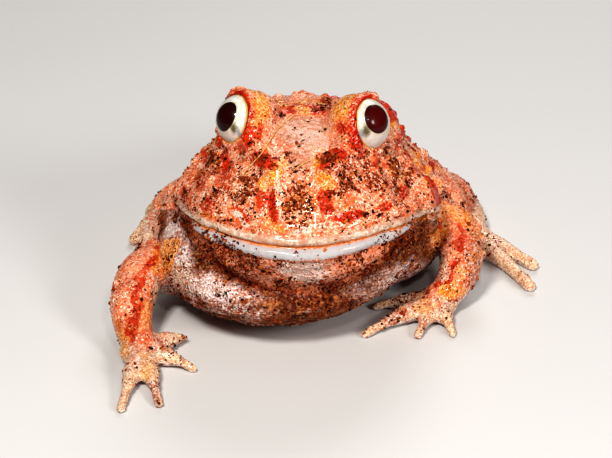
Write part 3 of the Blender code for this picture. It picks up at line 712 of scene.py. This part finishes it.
class Shading:
    """A material under construction: most methods add a node and give its output."""

    def __init__(self, name):
        self.made = bpy.data.materials.new(name)
        self.made.use_nodes = True
        self.tree = self.made.node_tree
        self.shader = self.tree.nodes["Principled BSDF"]
        self.place = self.add("TexCoord", {}).outputs["Object"]

    def put(self, socket, value):
        """Links an output to a socket, or sets the socket's own value."""
        if isinstance(value, bpy.types.NodeSocket):
            self.tree.links.new(value, socket)
        elif isinstance(value, tuple) and socket.type == "RGBA":
            socket.default_value = (*value, 1.0)
        else:
            socket.default_value = value

    def finish(self, title, value):
        self.put(self.shader.inputs[title], value)

    def add(self, kind, inputs):
        """A new node with these inputs."""
        made = self.tree.nodes.new("ShaderNode" + kind)
        for socket, value in inputs.items():
            self.put(made.inputs[socket], value)
        return made

    def mix(self, factor, first, second):
        made = self.add("Mix", {0: factor, 6: first, 7: second})
        made.data_type = "RGBA"
        return made.outputs[2]

    def maths(self, operation, *values):
        made = self.add("Math", dict(enumerate(values)))
        made.operation = operation
        return made.outputs[0]

    def plus(self, first, second):
        return self.maths("ADD", first, second)

    def minus(self, first, second):
        return self.maths("SUBTRACT", first, second)

    def times(self, first, second):
        return self.maths("MULTIPLY", first, second)

    def scaled(self, value, factor, offset):
        """value * factor + offset."""
        return self.maths("MULTIPLY_ADD", value, factor, offset)

    def ramp(self, value, low, high, start=0.0, end=1.0):
        made = self.add("MapRange", dict(enumerate((value, low, high, start, end))))
        made.interpolation_type = "SMOOTHSTEP"
        return made.outputs[0]

    def noise(self, scale, detail=3.0, roughness=0.55):
        inputs = {"Vector": self.place, "Scale": scale, "Detail": detail, "Roughness": roughness}
        return self.add("TexNoise", inputs).outputs[0]

    def cells(self, scale, feature="F1"):
        """Cells with a colour of their own, and the distance to each one's middle."""
        made = self.add("TexVoronoi", {"Vector": self.place, "Scale": scale})
        made.feature = feature
        return made.outputs["Color"], made.outputs["Distance"]

    def split(self, colour):
        return tuple(self.add("SeparateColor", {0: colour}).outputs)

    def channels(self, title):
        """The four values that a colour attribute holds."""
        made = self.add("Attribute", {})
        made.attribute_name = title
        return *self.split(made.outputs["Color"]), made.outputs["Alpha"]


# How many of the skin's grains, its larger pebbles and the rubbed-in specks lie side by side in one metre
GRAIN_SCALE = 2900.0
PEBBLE_SCALE = 1700.0
SPECK_SCALE = 2700.0
# How deep the relief of the grains is, in metres
GRAIN_DEPTH = 0.00032


def skin_material():
    m = Shading("frog_skin")
    red, yellow, pale, smooth = m.channels("tints")
    stain_and_painted_shade, clean, shine, grime_and_painted_shade = m.channels("finish")
    upper_lip, lower_lip, line, light = m.channels("mouth")
    lids = m.channels("lids")[0]

    broad = m.noise(190.0, 4.0)
    fine = m.noise(800.0, 3.0, 0.6)
    finest = m.noise(2800.0, 2.0, 0.65)
    mottle = m.plus(m.times(broad, 0.6), m.times(fine, 0.4))
    rough_part = m.minus(1.0, smooth)

    # fine grains, each with a shade of its own, and larger ones with darker skin between them on the throat
    grain_colour, grain_reach = m.cells(GRAIN_SCALE)
    shade, odd, _ = m.split(grain_colour)
    pebble_colour, pebble_reach = m.cells(PEBBLE_SCALE)
    lot = m.split(pebble_colour)[0]

    def broken(mask, strength, low=0.36, high=0.62):
        """A mask with a ragged edge that follows the grains."""
        own = m.times(m.minus(shade, 0.5), strength)
        return m.ramp(m.plus(m.plus(mask, own), m.minus(mottle, 0.5)), low, high)

    pink = m.mix(m.ramp(mottle, 0.38, 0.6), (0.80, 0.22, 0.085), (0.90, 0.47, 0.28))
    pink = m.mix(m.ramp(odd, 0.5, 0.95, 0.0, 0.9), pink, (0.97, 0.78, 0.64))
    pink = m.mix(m.ramp(shade, 0.3, 0.08, 0.0, 0.85), pink, (0.60, 0.065, 0.012))
    plain = m.mix(m.ramp(mottle, 0.36, 0.62), (0.42, 0.165, 0.095), (0.51, 0.27, 0.18))
    plain = m.mix(m.ramp(odd, 0.6, 1.0, 0.0, 0.6), plain, (0.68, 0.45, 0.33))
    ground = m.mix(smooth, pink, plain)

    warm = m.mix(m.ramp(odd, 0.2, 0.9), (0.82, 0.20, 0.010), (0.88, 0.40, 0.04))
    warm = m.mix(m.ramp(shade, 0.35, 0.9, 0.0, 0.85), warm, (0.92, 0.70, 0.43))
    soft_yellow = m.ramp(m.scaled(mottle, 1.4, yellow), 0.8, 1.65)
    colour = m.mix(soft_yellow, ground, warm)
    deep = m.mix(m.ramp(odd, 0.1, 0.8), (0.25, 0.002, 0.0003), (0.60, 0.020, 0.001))
    deep = m.mix(m.ramp(broad, 0.45, 0.7, 0.0, 0.5), deep, (0.76, 0.09, 0.005))
    deep = m.mix(m.ramp(red, 0.75, 0.3, 0.0, 0.8), deep, (0.84, 0.21, 0.03))
    colour = m.mix(broken(red, 1.0, 0.36, 0.8), colour, deep)
    rim = m.mix(m.ramp(broad, 0.35, 0.65), (0.24, 0.002, 0.0003), (0.46, 0.024, 0.001))
    colour = m.mix(m.ramp(m.scaled(mottle, 0.5, lids), 0.6, 1.0), colour, rim)
    white = m.mix(m.ramp(lot, 0.2, 0.6), (0.62, 0.34, 0.22), (0.88, 0.83, 0.78))
    purer = m.mix(yellow, (0.90, 0.88, 0.87), (0.88, 0.58, 0.24))
    purer = m.mix(m.ramp(odd, 0.4, 0.1, 0.0, 0.7), purer, (0.66, 0.36, 0.16))
    white = m.mix(clean, white, purer)
    gaps = m.ramp(pebble_reach, 0.34, 0.6)
    gaps = m.times(gaps, m.ramp(fine, 0.62, 0.4, 0.3, 1.0))
    gaps = m.times(gaps, m.scaled(clean, -0.7, 1.0))
    white = m.mix(gaps, white, (0.36, 0.09, 0.015))
    colour = m.mix(broken(pale, 0.5), colour, white)
    creases = m.ramp(grain_reach, 0.42, 0.66)
    creases = m.times(creases, m.scaled(rough_part, 0.45, 0.05))
    colour = m.mix(creases, colour, (0.42, 0.05, 0.012))
    # the brown of soil and of painted shade, darkest umber on the pale throat and underside
    brown = m.mix(m.ramp(mottle, 0.4, 0.62), (0.22, 0.022, 0.004), (0.68, 0.22, 0.10))
    umber = m.mix(m.ramp(mottle, 0.4, 0.62), (0.035, 0.003, 0.0005), (0.20, 0.040, 0.006))
    umber = m.mix(m.ramp(lot, 0.6, 0.92, 0.0, 0.7), umber, (0.46, 0.19, 0.05))
    brown = m.mix(pale, brown, umber)
    colour = m.mix(m.times(grime_and_painted_shade, 0.96), colour, brown)

    lip = m.mix(m.ramp(fine, 0.4, 0.62), (0.48, 0.255, 0.17), (0.54, 0.39, 0.30))
    colour = m.mix(upper_lip, colour, lip)
    # pale blotches on the upper lip and painted highlights on the lip, the chin and the snout's ridges,
    # near white on the ridges
    pale_and_highlight_colour = m.mix(pale, (0.66, 0.56, 0.45), (0.60, 0.40, 0.34))
    pale_and_highlight_colour = m.mix(m.ramp(light, 0.82, 0.95), pale_and_highlight_colour, (0.94, 0.90, 0.88))
    colour = m.mix(broken(light, 0.7, 0.4, 0.8), colour, pale_and_highlight_colour)
    under_lip = m.mix(m.ramp(fine, 0.42, 0.7, 0.0, 0.5), (0.43, 0.415, 0.42), (0.42, 0.30, 0.26))
    colour = m.mix(broken(lower_lip, 0.35, 0.3, 0.75), colour, under_lip)
    colour = m.mix(line, colour, (0.66, 0.19, 0.015))

    # soil that clings between the grains, also dark specks of painted shade on the throat and towards the
    # floor
    speck_colour, speck_reach = m.cells(SPECK_SCALE)
    likely, tone, _ = m.split(speck_colour)
    amount = m.times(m.times(stain_and_painted_shade, 0.62), m.ramp(fine, 0.3, 0.65, 0.3, 1.3))
    crust = m.ramp(m.minus(amount, likely), -0.02, 0.03)
    crust = m.times(crust, m.ramp(speck_reach, 0.62, 0.42))
    earth = m.mix(m.ramp(tone, 0.35, 0.95), (0.038, 0.004, 0.001), (0.28, 0.055, 0.008))
    colour = m.mix(m.times(crust, 0.95), colour, earth)
    m.finish("Base Color", colour)

    gloss = m.ramp(broad, 0.35, 0.7, 0.42, 0.28)
    gloss = m.minus(gloss, m.times(shine, 0.12))
    gloss = m.scaled(crust, 0.25, gloss)
    gloss = m.scaled(grime_and_painted_shade, 0.3, gloss)
    m.finish("Roughness", gloss)
    m.finish("Specular IOR Level", 0.06)
    m.finish("Coat Weight", m.scaled(grime_and_painted_shade, -0.36, 0.38))
    m.finish("Coat Roughness", 0.07)
    m.finish("Subsurface Weight", 0.05)
    m.finish("Subsurface Radius", (1.0, 0.3, 0.15))
    m.finish("Subsurface Scale", 0.0007)

    # the relief of the grains, with pores and fine wrinkles
    _, domes = m.cells(GRAIN_SCALE, "SMOOTH_F1")
    pattern = m.times(domes, m.scaled(rough_part, -0.6, -0.1))
    _, larger = m.cells(PEBBLE_SCALE, "SMOOTH_F1")
    pattern = m.scaled(m.times(larger, pale), -1.1, pattern)
    pattern = m.scaled(fine, 0.9, pattern)
    pattern = m.scaled(finest, 0.45, pattern)
    pattern = m.scaled(crust, 0.3, pattern)
    strength = m.minus(0.9, m.times(shine, 0.65))
    relief = m.add("Bump", {"Distance": GRAIN_DEPTH, "Strength": strength, "Height": pattern})
    m.finish("Normal", relief.outputs[0])
    return m.made


# The direction each eye looks in: to the viewer's right, away from the viewer and up
LOOKS = {-1: (-0.635, -0.632, 0.45), 1: (0.53, -0.66, 0.56)}
# Half the width and height of each pupil, and its lean, on the ball's surface in millimetres and degrees
PUPILS = {-1: (2.5, 3.3, 8.0), 1: (2.9, 3.15, -4.0)}
# The fleck and grey smear on the iris: inward and up from the pupil's middle, half width and height, lean
FLECKS = {-1: (2.6, -1.7, 0.55, 1.15, -10), 1: (3.1, -1.7, 0.7, 1.25, -8)}
SMEARS = {-1: (3.8, -2.5, 0.42, 1.6, -24), 1: (4.4, -2.2, 0.6, 1.2, -20)}
CORNEA_SWELL = 0.25
# A colour attribute holds 0 to 1, so the distances on the iris are divided by these
GAZE_SPAN = 4.0
IRIS_SPAN = 16.0


def eye_object(side, skin_tree):
    """A ball with a slight corneal swell; each point knows where it lies from the middle of the pupil."""
    look = Vector(LOOKS[side]).normalized()
    turn = look.to_track_quat("Z", "Y").to_matrix()
    bm = bmesh.new()
    radius = BALL_RADIUS[side]
    bmesh.ops.create_uvsphere(bm, u_segments=160, v_segments=120, radius=radius)
    mesh = finished(bm, "eye")
    points = coordinates(mesh)
    wide = np.hypot(points[:, 0], points[:, 1])
    swell = np.where(points[:, 2] > 0, CORNEA_SWELL * rise(-wide, -4.0, -1.5), 0.0)
    points = points * (1 + swell / radius)[:, None]
    arc = radius * np.arccos(np.clip(points[:, 2] / np.linalg.norm(points, axis=1), -1, 1))
    ray = points[:, :2] / np.maximum(wide, 1e-6)[:, None]
    world = turned(points, turn.to_4x4()) + np.array(eye_place(side))
    set_coordinates(mesh, turned(world, TO_SCENE))
    upward = (turn.inverted() @ Vector((0, 0, 1))).xy.normalized()
    inward = (turn.inverted() @ Vector((-side, 0, 0))).xy
    inward = (inward - upward * inward.dot(upward)).normalized()
    a, b = arc * (ray @ np.array(inward)), arc * (ray @ np.array(upward))

    def ellipse(across, up, half_width, half_height, lean):
        lean = math.radians(lean)
        along = (a - across) * math.cos(lean) - (b - up) * math.sin(lean)
        over = (b - up) * math.cos(lean) + (a - across) * math.sin(lean)
        return np.hypot(along / half_width, over / half_height)

    half_width, half_height, lean = PUPILS[side]
    near = np.array([skin_tree.find(point)[2] for point in world])
    lid = 1 - rise(near, 0.25, 1.0)
    pupil = ellipse(0, 0, half_width, half_height, lean)
    fleck, smear = ellipse(*FLECKS[side]), ellipse(*SMEARS[side])
    write_channels(mesh, "gaze", pupil / GAZE_SPAN, fleck / GAZE_SPAN, smear / GAZE_SPAN, lid)
    left = np.full(len(points), float(side < 0))
    write_channels(mesh, "iris", b / IRIS_SPAN + 0.5, left, left, left)
    mesh.shade_smooth()
    return new_object("eye_ball_left" if side < 0 else "eye_ball_right", mesh)


def eye_material():
    m = Shading("frog_eye")
    pupil, fleck, smear, lid = m.channels("gaze")
    upward, left, _, _ = m.channels("iris")
    grain = m.noise(900.0, 4.0, 0.6)
    veins = m.noise(2600.0, 3.0, 0.65)
    wobble = m.times(m.minus(veins, 0.5), 0.12)
    iris = m.mix(m.ramp(grain, 0.4, 0.65), (0.55, 0.52, 0.44), (0.64, 0.64, 0.60))
    # greyish pink below, with fine veins
    low = m.ramp(upward, 0.42, 0.3)
    iris = m.mix(m.times(low, 0.6), iris, (0.58, 0.47, 0.42))
    iris = m.mix(m.ramp(veins, 0.55, 0.7, 0.0, 0.35), iris, (0.50, 0.33, 0.24))
    edge = m.plus(lid, m.times(wobble, 2.0))
    edge = m.scaled(grain, 0.5, edge)
    iris = m.mix(m.ramp(edge, 1.0, 1.28, 0.0, 0.85), iris, (0.56, 0.35, 0.04))
    grey = m.ramp(m.scaled(wobble, 2.5, smear), 0.4, 0.1)
    iris = m.mix(m.times(grey, 0.75), iris, (0.20, 0.21, 0.25))
    olive = m.ramp(m.scaled(wobble, 2.5, fleck), 0.42, 0.12)
    iris = m.mix(m.times(olive, 0.92), iris, (0.085, 0.050, 0.003))
    ring = m.times(m.ramp(pupil, 0.245, 0.255), m.ramp(pupil, 0.285, 0.265))
    iris = m.mix(m.times(ring, 0.3), iris, (0.45, 0.33, 0.12))
    # near black pupils with a painted red glow of reflected light, stronger in the right eye and fading to
    # the rim
    inner = m.mix(left, (0.070, 0.0012, 0.0010), (0.024, 0.0006, 0.0005))
    inner = m.mix(m.ramp(pupil, 0.1, 0.24, 0.0, 0.5), inner, (0.012, 0.001, 0.001))
    colour = m.mix(m.ramp(pupil, 0.254, 0.244), iris, inner)
    m.finish("Base Color", colour)
    m.finish("Roughness", m.ramp(grain, 0.3, 0.7, 0.3, 0.4))
    m.finish("Specular IOR Level", 0.1)
    m.finish("Coat Weight", 0.3)
    m.finish("Coat Roughness", 0.03)
    return m.made


# Where crumbs of soil lie thickest in the main view: across, up, half width and height, tilt, how thick
SOIL_PATCHES = [
    (0.2, 6.9, 2.7, 4.2, 0, 8.0), (-1.3, 16.5, 1.2, 1.2, 0, 2.0), (0.4, 19.3, 0.7, 0.8, 0, 4.0),
    (-6.3, 16.0, 3.2, 1.6, -20, 1.1), (-7.8, 12.8, 0.9, 1.8, -35, 3.0), (-10.2, 12.0, 0.9, 1.2, 0, 3.0),
    (-16.6, 15.4, 1.6, 3.4, 10, 1.6), (-13.4, 9.4, 5.5, 1.6, 0, 1.2), (7.2, 16.6, 3.2, 1.5, 5, 1.3),
    (10.2, 12.9, 2.0, 2.7, 30, 3.4), (7.6, 9.6, 2.0, 1.4, 0, 1.6), (19.0, 13.2, 0.8, 2.8, 6, 4.0),
    (19.4, 9.0, 1.4, 2.2, 10, 3.0), (21.4, 13.0, 0.7, 2.4, -10, 2.0), (21.0, 4.6, 3.2, 0.9, 10, 3.0),
    (-20.8, 5.6, 2.6, 1.1, -12, 2.6), (4.4, 26.0, 2.0, 0.8, 10, 1.0), (-3.2, 24.6, 0.8, 0.6, 0, 1.0),
    (5.6, 27.2, 0.8, 1.0, 30, 1.0), (4.7, 21.6, 1.0, 0.4, 0, 3.0), (14.6, 11.6, 5.0, 3.0, 0, 0.9),
    (0.0, 12.6, 3.0, 2.2, 0, 0.6), (13.2, 16.0, 1.6, 1.6, 0, 1.2), (17.4, 16.8, 1.0, 3.2, 10, 1.6),
]
# The same below the mouth
CHIN_SOIL_PATCHES = [
    (-14.5, -1.0, 4.2, 2.4, -30, 2.0), (-9.0, -4.0, 5.0, 2.0, -18, 1.6), (12.5, -2.2, 6.5, 1.6, 20, 1.6),
    (20.0, 0.6, 5.0, 2.0, 14, 4.0), (0.5, -8.6, 10.0, 1.3, 0, 2.0), (-3.0, -3.6, 5.0, 1.2, 0, 1.2),
    (-19.5, 2.6, 2.2, 2.6, 20, 3.0), (4.0, -11.5, 9.0, 2.0, 8, 0.8), (-7.0, -9.6, 1.6, 1.2, 0, 2.0),
]
CRUMBS_DRAWN = 13000
# Only one crumb stays in each cell of this size; a crumb's usual and largest radius, in millimetres
CRUMB_CELL = 0.27
CRUMB_RADIUS = 0.155
FINE_CRUMB_RADIUS = 0.13
LARGEST_CRUMB = 0.42


def soil_weight(points, seen, local, u, in_head):
    """How thick the soil lies at each point: most on the cheeks, the snout, the chin and in the folds."""
    x, back, _ = local.T
    across = around_jaw(local)
    flat = front_view(points)
    clump = noise(points, 3.0, 91, 3)
    tight = noise(points, 1.3, 92, 2)
    face = in_head & (u > 2.0) & seen
    weight = np.full(len(points), 0.02)
    for rows, here in ((SOIL_PATCHES, face), (CHIN_SOIL_PATCHES, seen * (u < -2.4) * (back < 40))):
        for *shape, strength in rows:
            weight += 0.8 * strength * patch(flat, *shape) * here
    weight += 0.2 * face * (np.abs(flat[:, 0]) > 8) * (flat[:, 1] < 20)
    fold = chin_side(flat)
    below = in_head & (u < -2.2) & seen
    weight += 0.8 * below * rise(fold, -0.6, 0.6) * (1 - patch(flat, 1.9, -5.0, 6.5, 2.3))
    weight += 2.2 * bump(fold, 0.2, 0.8) * seen * (u < -2.0) * (np.abs(x) < 30)
    weight += 0.3 * below * (fold < 0)
    weight += 2.0 * bump(u, 0.5, 0.6) * in_head * rise(np.abs(across), 0.95, 1.2)
    weight += 0.16 * bump(u, -1.5, 1.5) * in_head
    weight += 1.2 * bump(u, -2.9, 0.5) * in_head * seen
    weight += bump(u, -1.2, 1.2) * in_head * (1.3 * rise(x, 9, 17) + 0.5 * rise(-x, 8, 14))
    trunk = ~in_head & (points[:, 2] > 3)
    weight += 0.10 * trunk * rise(clump, 0.0, 0.6)
    weight *= rise(clump, -0.5, 0.5) ** 1.5 + 0.05
    weight *= 0.25 + rise(tight, -0.2, 0.4)
    for side in (-1, 1):
        reach = np.linalg.norm(points - np.array(eye_place(side)), axis=1)
        weight *= rise(reach, EYE_RADIUS + 0.4, EYE_RADIUS + 1.0)
    return weight * (points[:, 2] > 1.2)


def soil_object(skin):
    """Crumbs of soil that stick to the skin."""
    mesh = skin.data
    points = turned(coordinates(mesh), TO_SCENE.inverted())
    facing = normals(mesh)
    local = turned(points, HEAD.inverted())
    u = local[:, 2] - mouth_height(around_jaw(local))
    in_head = (local[:, 1] < 33) & (np.abs(local[:, 0]) < 27)
    weight = soil_weight(points, facing @ TOWARDS_VIEWER > 0, local, u, in_head)
    draw = np.random.default_rng(5)
    drawn = draw.choice(len(points), CRUMBS_DRAWN, replace=False, p=weight / weight.sum())
    chosen, cells = [], set()
    for index in drawn:
        cell = tuple(np.floor(points[index] / CRUMB_CELL).astype(int))
        if cell not in cells:
            cells.add(cell)
            chosen.append(index)
    heap = patch(front_view(points), *SOIL_PATCHES[0][:-1])
    ico = bmesh.new()
    bmesh.ops.create_icosphere(ico, subdivisions=1, radius=1.0)
    ball = np.array([v.co for v in ico.verts])
    faces = np.array([[v.index for v in f.verts] for f in ico.faces])
    ico.free()
    vertices, triangles, shades = [], [], []
    for n, index in enumerate(chosen):
        fine = u[index] < -1.0 or not in_head[index]
        usual = FINE_CRUMB_RADIUS if fine else CRUMB_RADIUS
        size = min(draw.lognormal(math.log(usual), 0.5), LARGEST_CRUMB)
        shape = ball * (1 + draw.uniform(-0.42, 0.38, (len(ball), 1))) * size
        shape = shape * np.array((draw.uniform(0.8, 1.5), draw.uniform(0.6, 1.15), draw.uniform(0.5, 0.95)))
        normal = Vector(facing[index])
        turn = normal.to_track_quat("Z", "Y").to_matrix() @ Matrix.Rotation(draw.uniform(0, 6.28), 3, "Z")
        shape = shape @ np.array(turn).T + points[index] + facing[index] * size * draw.uniform(0.0, 0.4)
        vertices.append(shape)
        triangles.append(faces + len(ball) * n)
        shades.append(np.full(len(ball), draw.random() + 0.12 * heap[index]))
    made = bpy.data.meshes.new("soil")
    everything = turned(np.concatenate(vertices), TO_SCENE)
    made.from_pydata(everything.tolist(), [], np.concatenate(triangles).tolist())
    write_channels(made, "shade", np.concatenate(shades))
    return new_object("soil_crumbs", made)


def soil_material():
    m = Shading("soil")
    shade = m.channels("shade")[0]
    grain = m.noise(3000.0, 2.0)
    dark = m.mix(m.ramp(shade, 0.22, 0.5), (0.014, 0.0014, 0.0005), (0.20, 0.026, 0.003))
    colour = m.mix(m.ramp(shade, 0.78, 0.98), dark, (0.48, 0.15, 0.03))
    colour = m.mix(m.ramp(grain, 0.5, 0.7, 0.0, 0.35), colour, (0.30, 0.07, 0.01))
    m.finish("Base Color", colour)
    m.finish("Roughness", 0.4)
    m.finish("Specular IOR Level", 0.1)
    return m.made


# Two fibres on the snout in the main view, and their radius
FIBRES = [
    ([(-11.0, 12.6), (-8.7, 15.2), (-6.8, 17.2), (-5.8, 18.9),
      (-4.4, 21.2), (-2.7, 22.9), (-0.8, 24.5), (0.2, 24.7)], 0.13),
    ([(-0.4, 14.2), (1.0, 15.2), (3.0, 16.2)], 0.11),
]
FIBRE_LIFT = 0.34
FIBRE_SIDES = 6
FIBRE_STEPS = 12
# How many points the fibre's course is averaged over, an odd number
FIBRE_SMOOTHING = 9


def straw_object(skin):
    """Two thin fibres that lie on the snout."""
    graph = bpy.context.evaluated_depsgraph_get()
    tree = BVHTree.FromObject(skin, graph)
    lips = Vector((0, 0, LIP_HEIGHT))
    front = Vector(TOWARDS_VIEWER)
    start = lips + front * VIEW_DISTANCE
    to_scene = TO_SCENE.to_3x3()
    bm = bmesh.new()
    for path, radius in FIBRES:
        knots = []
        for across, up in path:
            way = lips + Vector((across, 0, 0)) + UP_IN_VIEW * up - start
            hit, _, _, _ = tree.ray_cast(TO_SCENE @ start, (to_scene @ way).normalized())
            knots.append(np.array(TO_SCENE.inverted() @ hit + front * (radius + FIBRE_LIFT)))
        knots = np.array(knots)
        t = np.linspace(0, len(knots) - 1, FIBRE_STEPS * len(knots))
        smooth = np.array([np.interp(t, np.arange(len(knots)), knots[:, k]) for k in range(3)]).T
        kernel = np.ones(FIBRE_SMOOTHING) / FIBRE_SMOOTHING
        beyond = FIBRE_SMOOTHING // 2
        padded = np.pad(smooth, ((beyond, beyond), (0, 0)), "edge")
        smooth = np.array([np.convolve(padded[:, k], kernel, "valid") for k in range(3)]).T
        along = np.gradient(smooth, axis=0)
        along /= np.linalg.norm(along, axis=1)[:, None]
        side = np.cross(along, np.array(front))
        side /= np.linalg.norm(side, axis=1)[:, None]
        over = np.cross(side, along)
        rings = []
        for i, (point, s, o) in enumerate(zip(smooth, side, over)):
            r = radius * (0.45 + 0.55 * math.sin(math.pi * (0.08 + 0.84 * i / (len(smooth) - 1))))
            angles = np.linspace(0, 2 * math.pi, FIBRE_SIDES + 1)[:-1]
            ring = [point + r * (math.cos(a) * s + math.sin(a) * o) for a in angles]
            rings.append([bm.verts.new(TO_SCENE @ Vector(p)) for p in ring])
        for low, high in zip(rings, rings[1:]):
            for i in range(FIBRE_SIDES):
                j = (i + 1) % FIBRE_SIDES
                bm.faces.new((low[i], low[j], high[j], high[i]))
        bm.faces.new(rings[0])
        bm.faces.new(rings[-1])
    bmesh.ops.recalc_face_normals(bm, faces=bm.faces)
    mesh = finished(bm, "straw")
    mesh.shade_smooth()
    return new_object("straw_fibres", mesh)


def straw_material():
    m = Shading("straw")
    grain = m.noise(1500.0, 2.0)
    colour = m.mix(m.ramp(grain, 0.4, 0.6), (0.56, 0.27, 0.05), (0.76, 0.50, 0.20))
    m.finish("Base Color", colour)
    m.finish("Roughness", 0.4)
    return m.made


FLOOR_SIZE = 6.0


def floor_object():
    mesh = bpy.data.meshes.new("floor")
    far = FLOOR_SIZE / 2
    mesh.from_pydata([(-far, -far, 0), (far, -far, 0), (far, far, 0), (-far, far, 0)], [], [(0, 1, 2, 3)])
    made = new_object("floor", mesh)
    m = Shading("floor")
    m.finish("Base Color", (0.60, 0.585, 0.57))
    m.finish("Roughness", 0.7)
    mesh.materials.append(m.made)


def camera():
    """The main view: the lips' middle is 9 pixels left of and 14 below the centre of a 612 pixel frame."""
    lens, sensor, frame_width = 122.0, 36.0, 612
    pixel = sensor / lens * VIEW_DISTANCE / frame_width
    target = Vector((9 * pixel, 0, LIP_HEIGHT)) + UP_IN_VIEW * 14 * pixel
    back = Vector(TOWARDS_VIEWER)
    data = bpy.data.cameras.new("camera")
    data.sensor_width = sensor
    data.lens = lens
    data.clip_start = 0.02
    made = new_object("camera", data)
    made.location = TO_SCENE @ (target + back * VIEW_DISTANCE)
    made.rotation_euler = (-back).to_track_quat("-Z", "Y").to_euler()
    bpy.context.scene.camera = made


def area_light(name, place, size, energy, colour=(1, 1, 1)):
    """A square light that shines on the frog's chest."""
    data = bpy.data.lights.new(name, "AREA")
    data.size = size
    data.energy = energy
    data.color = colour
    made = new_object(name, data)
    made.location = place
    made.rotation_euler = (Vector((0, -0.02, 0.02)) - Vector(place)).to_track_quat("-Z", "Y").to_euler()


def lighting():
    world = bpy.data.worlds.new("world")
    bpy.context.scene.world = world
    world.use_nodes = True
    background = world.node_tree.nodes["Background"]
    background.inputs["Color"].default_value = (0.95, 0.97, 1.0, 1.0)
    background.inputs["Strength"].default_value = 0.07
    area_light("key", (-0.14, -0.44, 0.52), size=0.11, energy=3.3, colour=(1.0, 0.98, 0.94))
    area_light("fill", (0.40, -0.45, 0.34), size=0.16, energy=1.7)
    area_light("rim", (0.10, 0.50, 0.45), size=0.30, energy=1.4)
    area_light("glint", (0.08, -0.42, 0.40), size=0.03, energy=0.35)
    settings = bpy.context.scene.view_settings
    settings.view_transform = "Standard"
    settings.look = "High Contrast"


def dress(piece, material, slot, *solids):
    """Gives a piece its material, and puts it in place of these solids, if there are any; the slot is not
    used.
    """
    piece.data.materials.clear()
    piece.data.materials.append(material)
    if solids:
        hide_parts(*solids)
    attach(piece, "root")


def main():
    camera()
    skin = skin_object()
    dress(skin, skin_material(), "skin", *FLESH)
    eyes = eye_material()
    skin_tree = point_tree(turned(coordinates(skin.data), TO_SCENE.inverted()))
    for side, solid in ((-1, "eye_left"), (1, "eye_right")):
        dress(eye_object(side, skin_tree), eyes, "eye", solid)
    dress(soil_object(skin), soil_material(), "skin")
    dress(straw_object(skin), straw_material(), "skin")
    floor_object()
    lighting()


main()
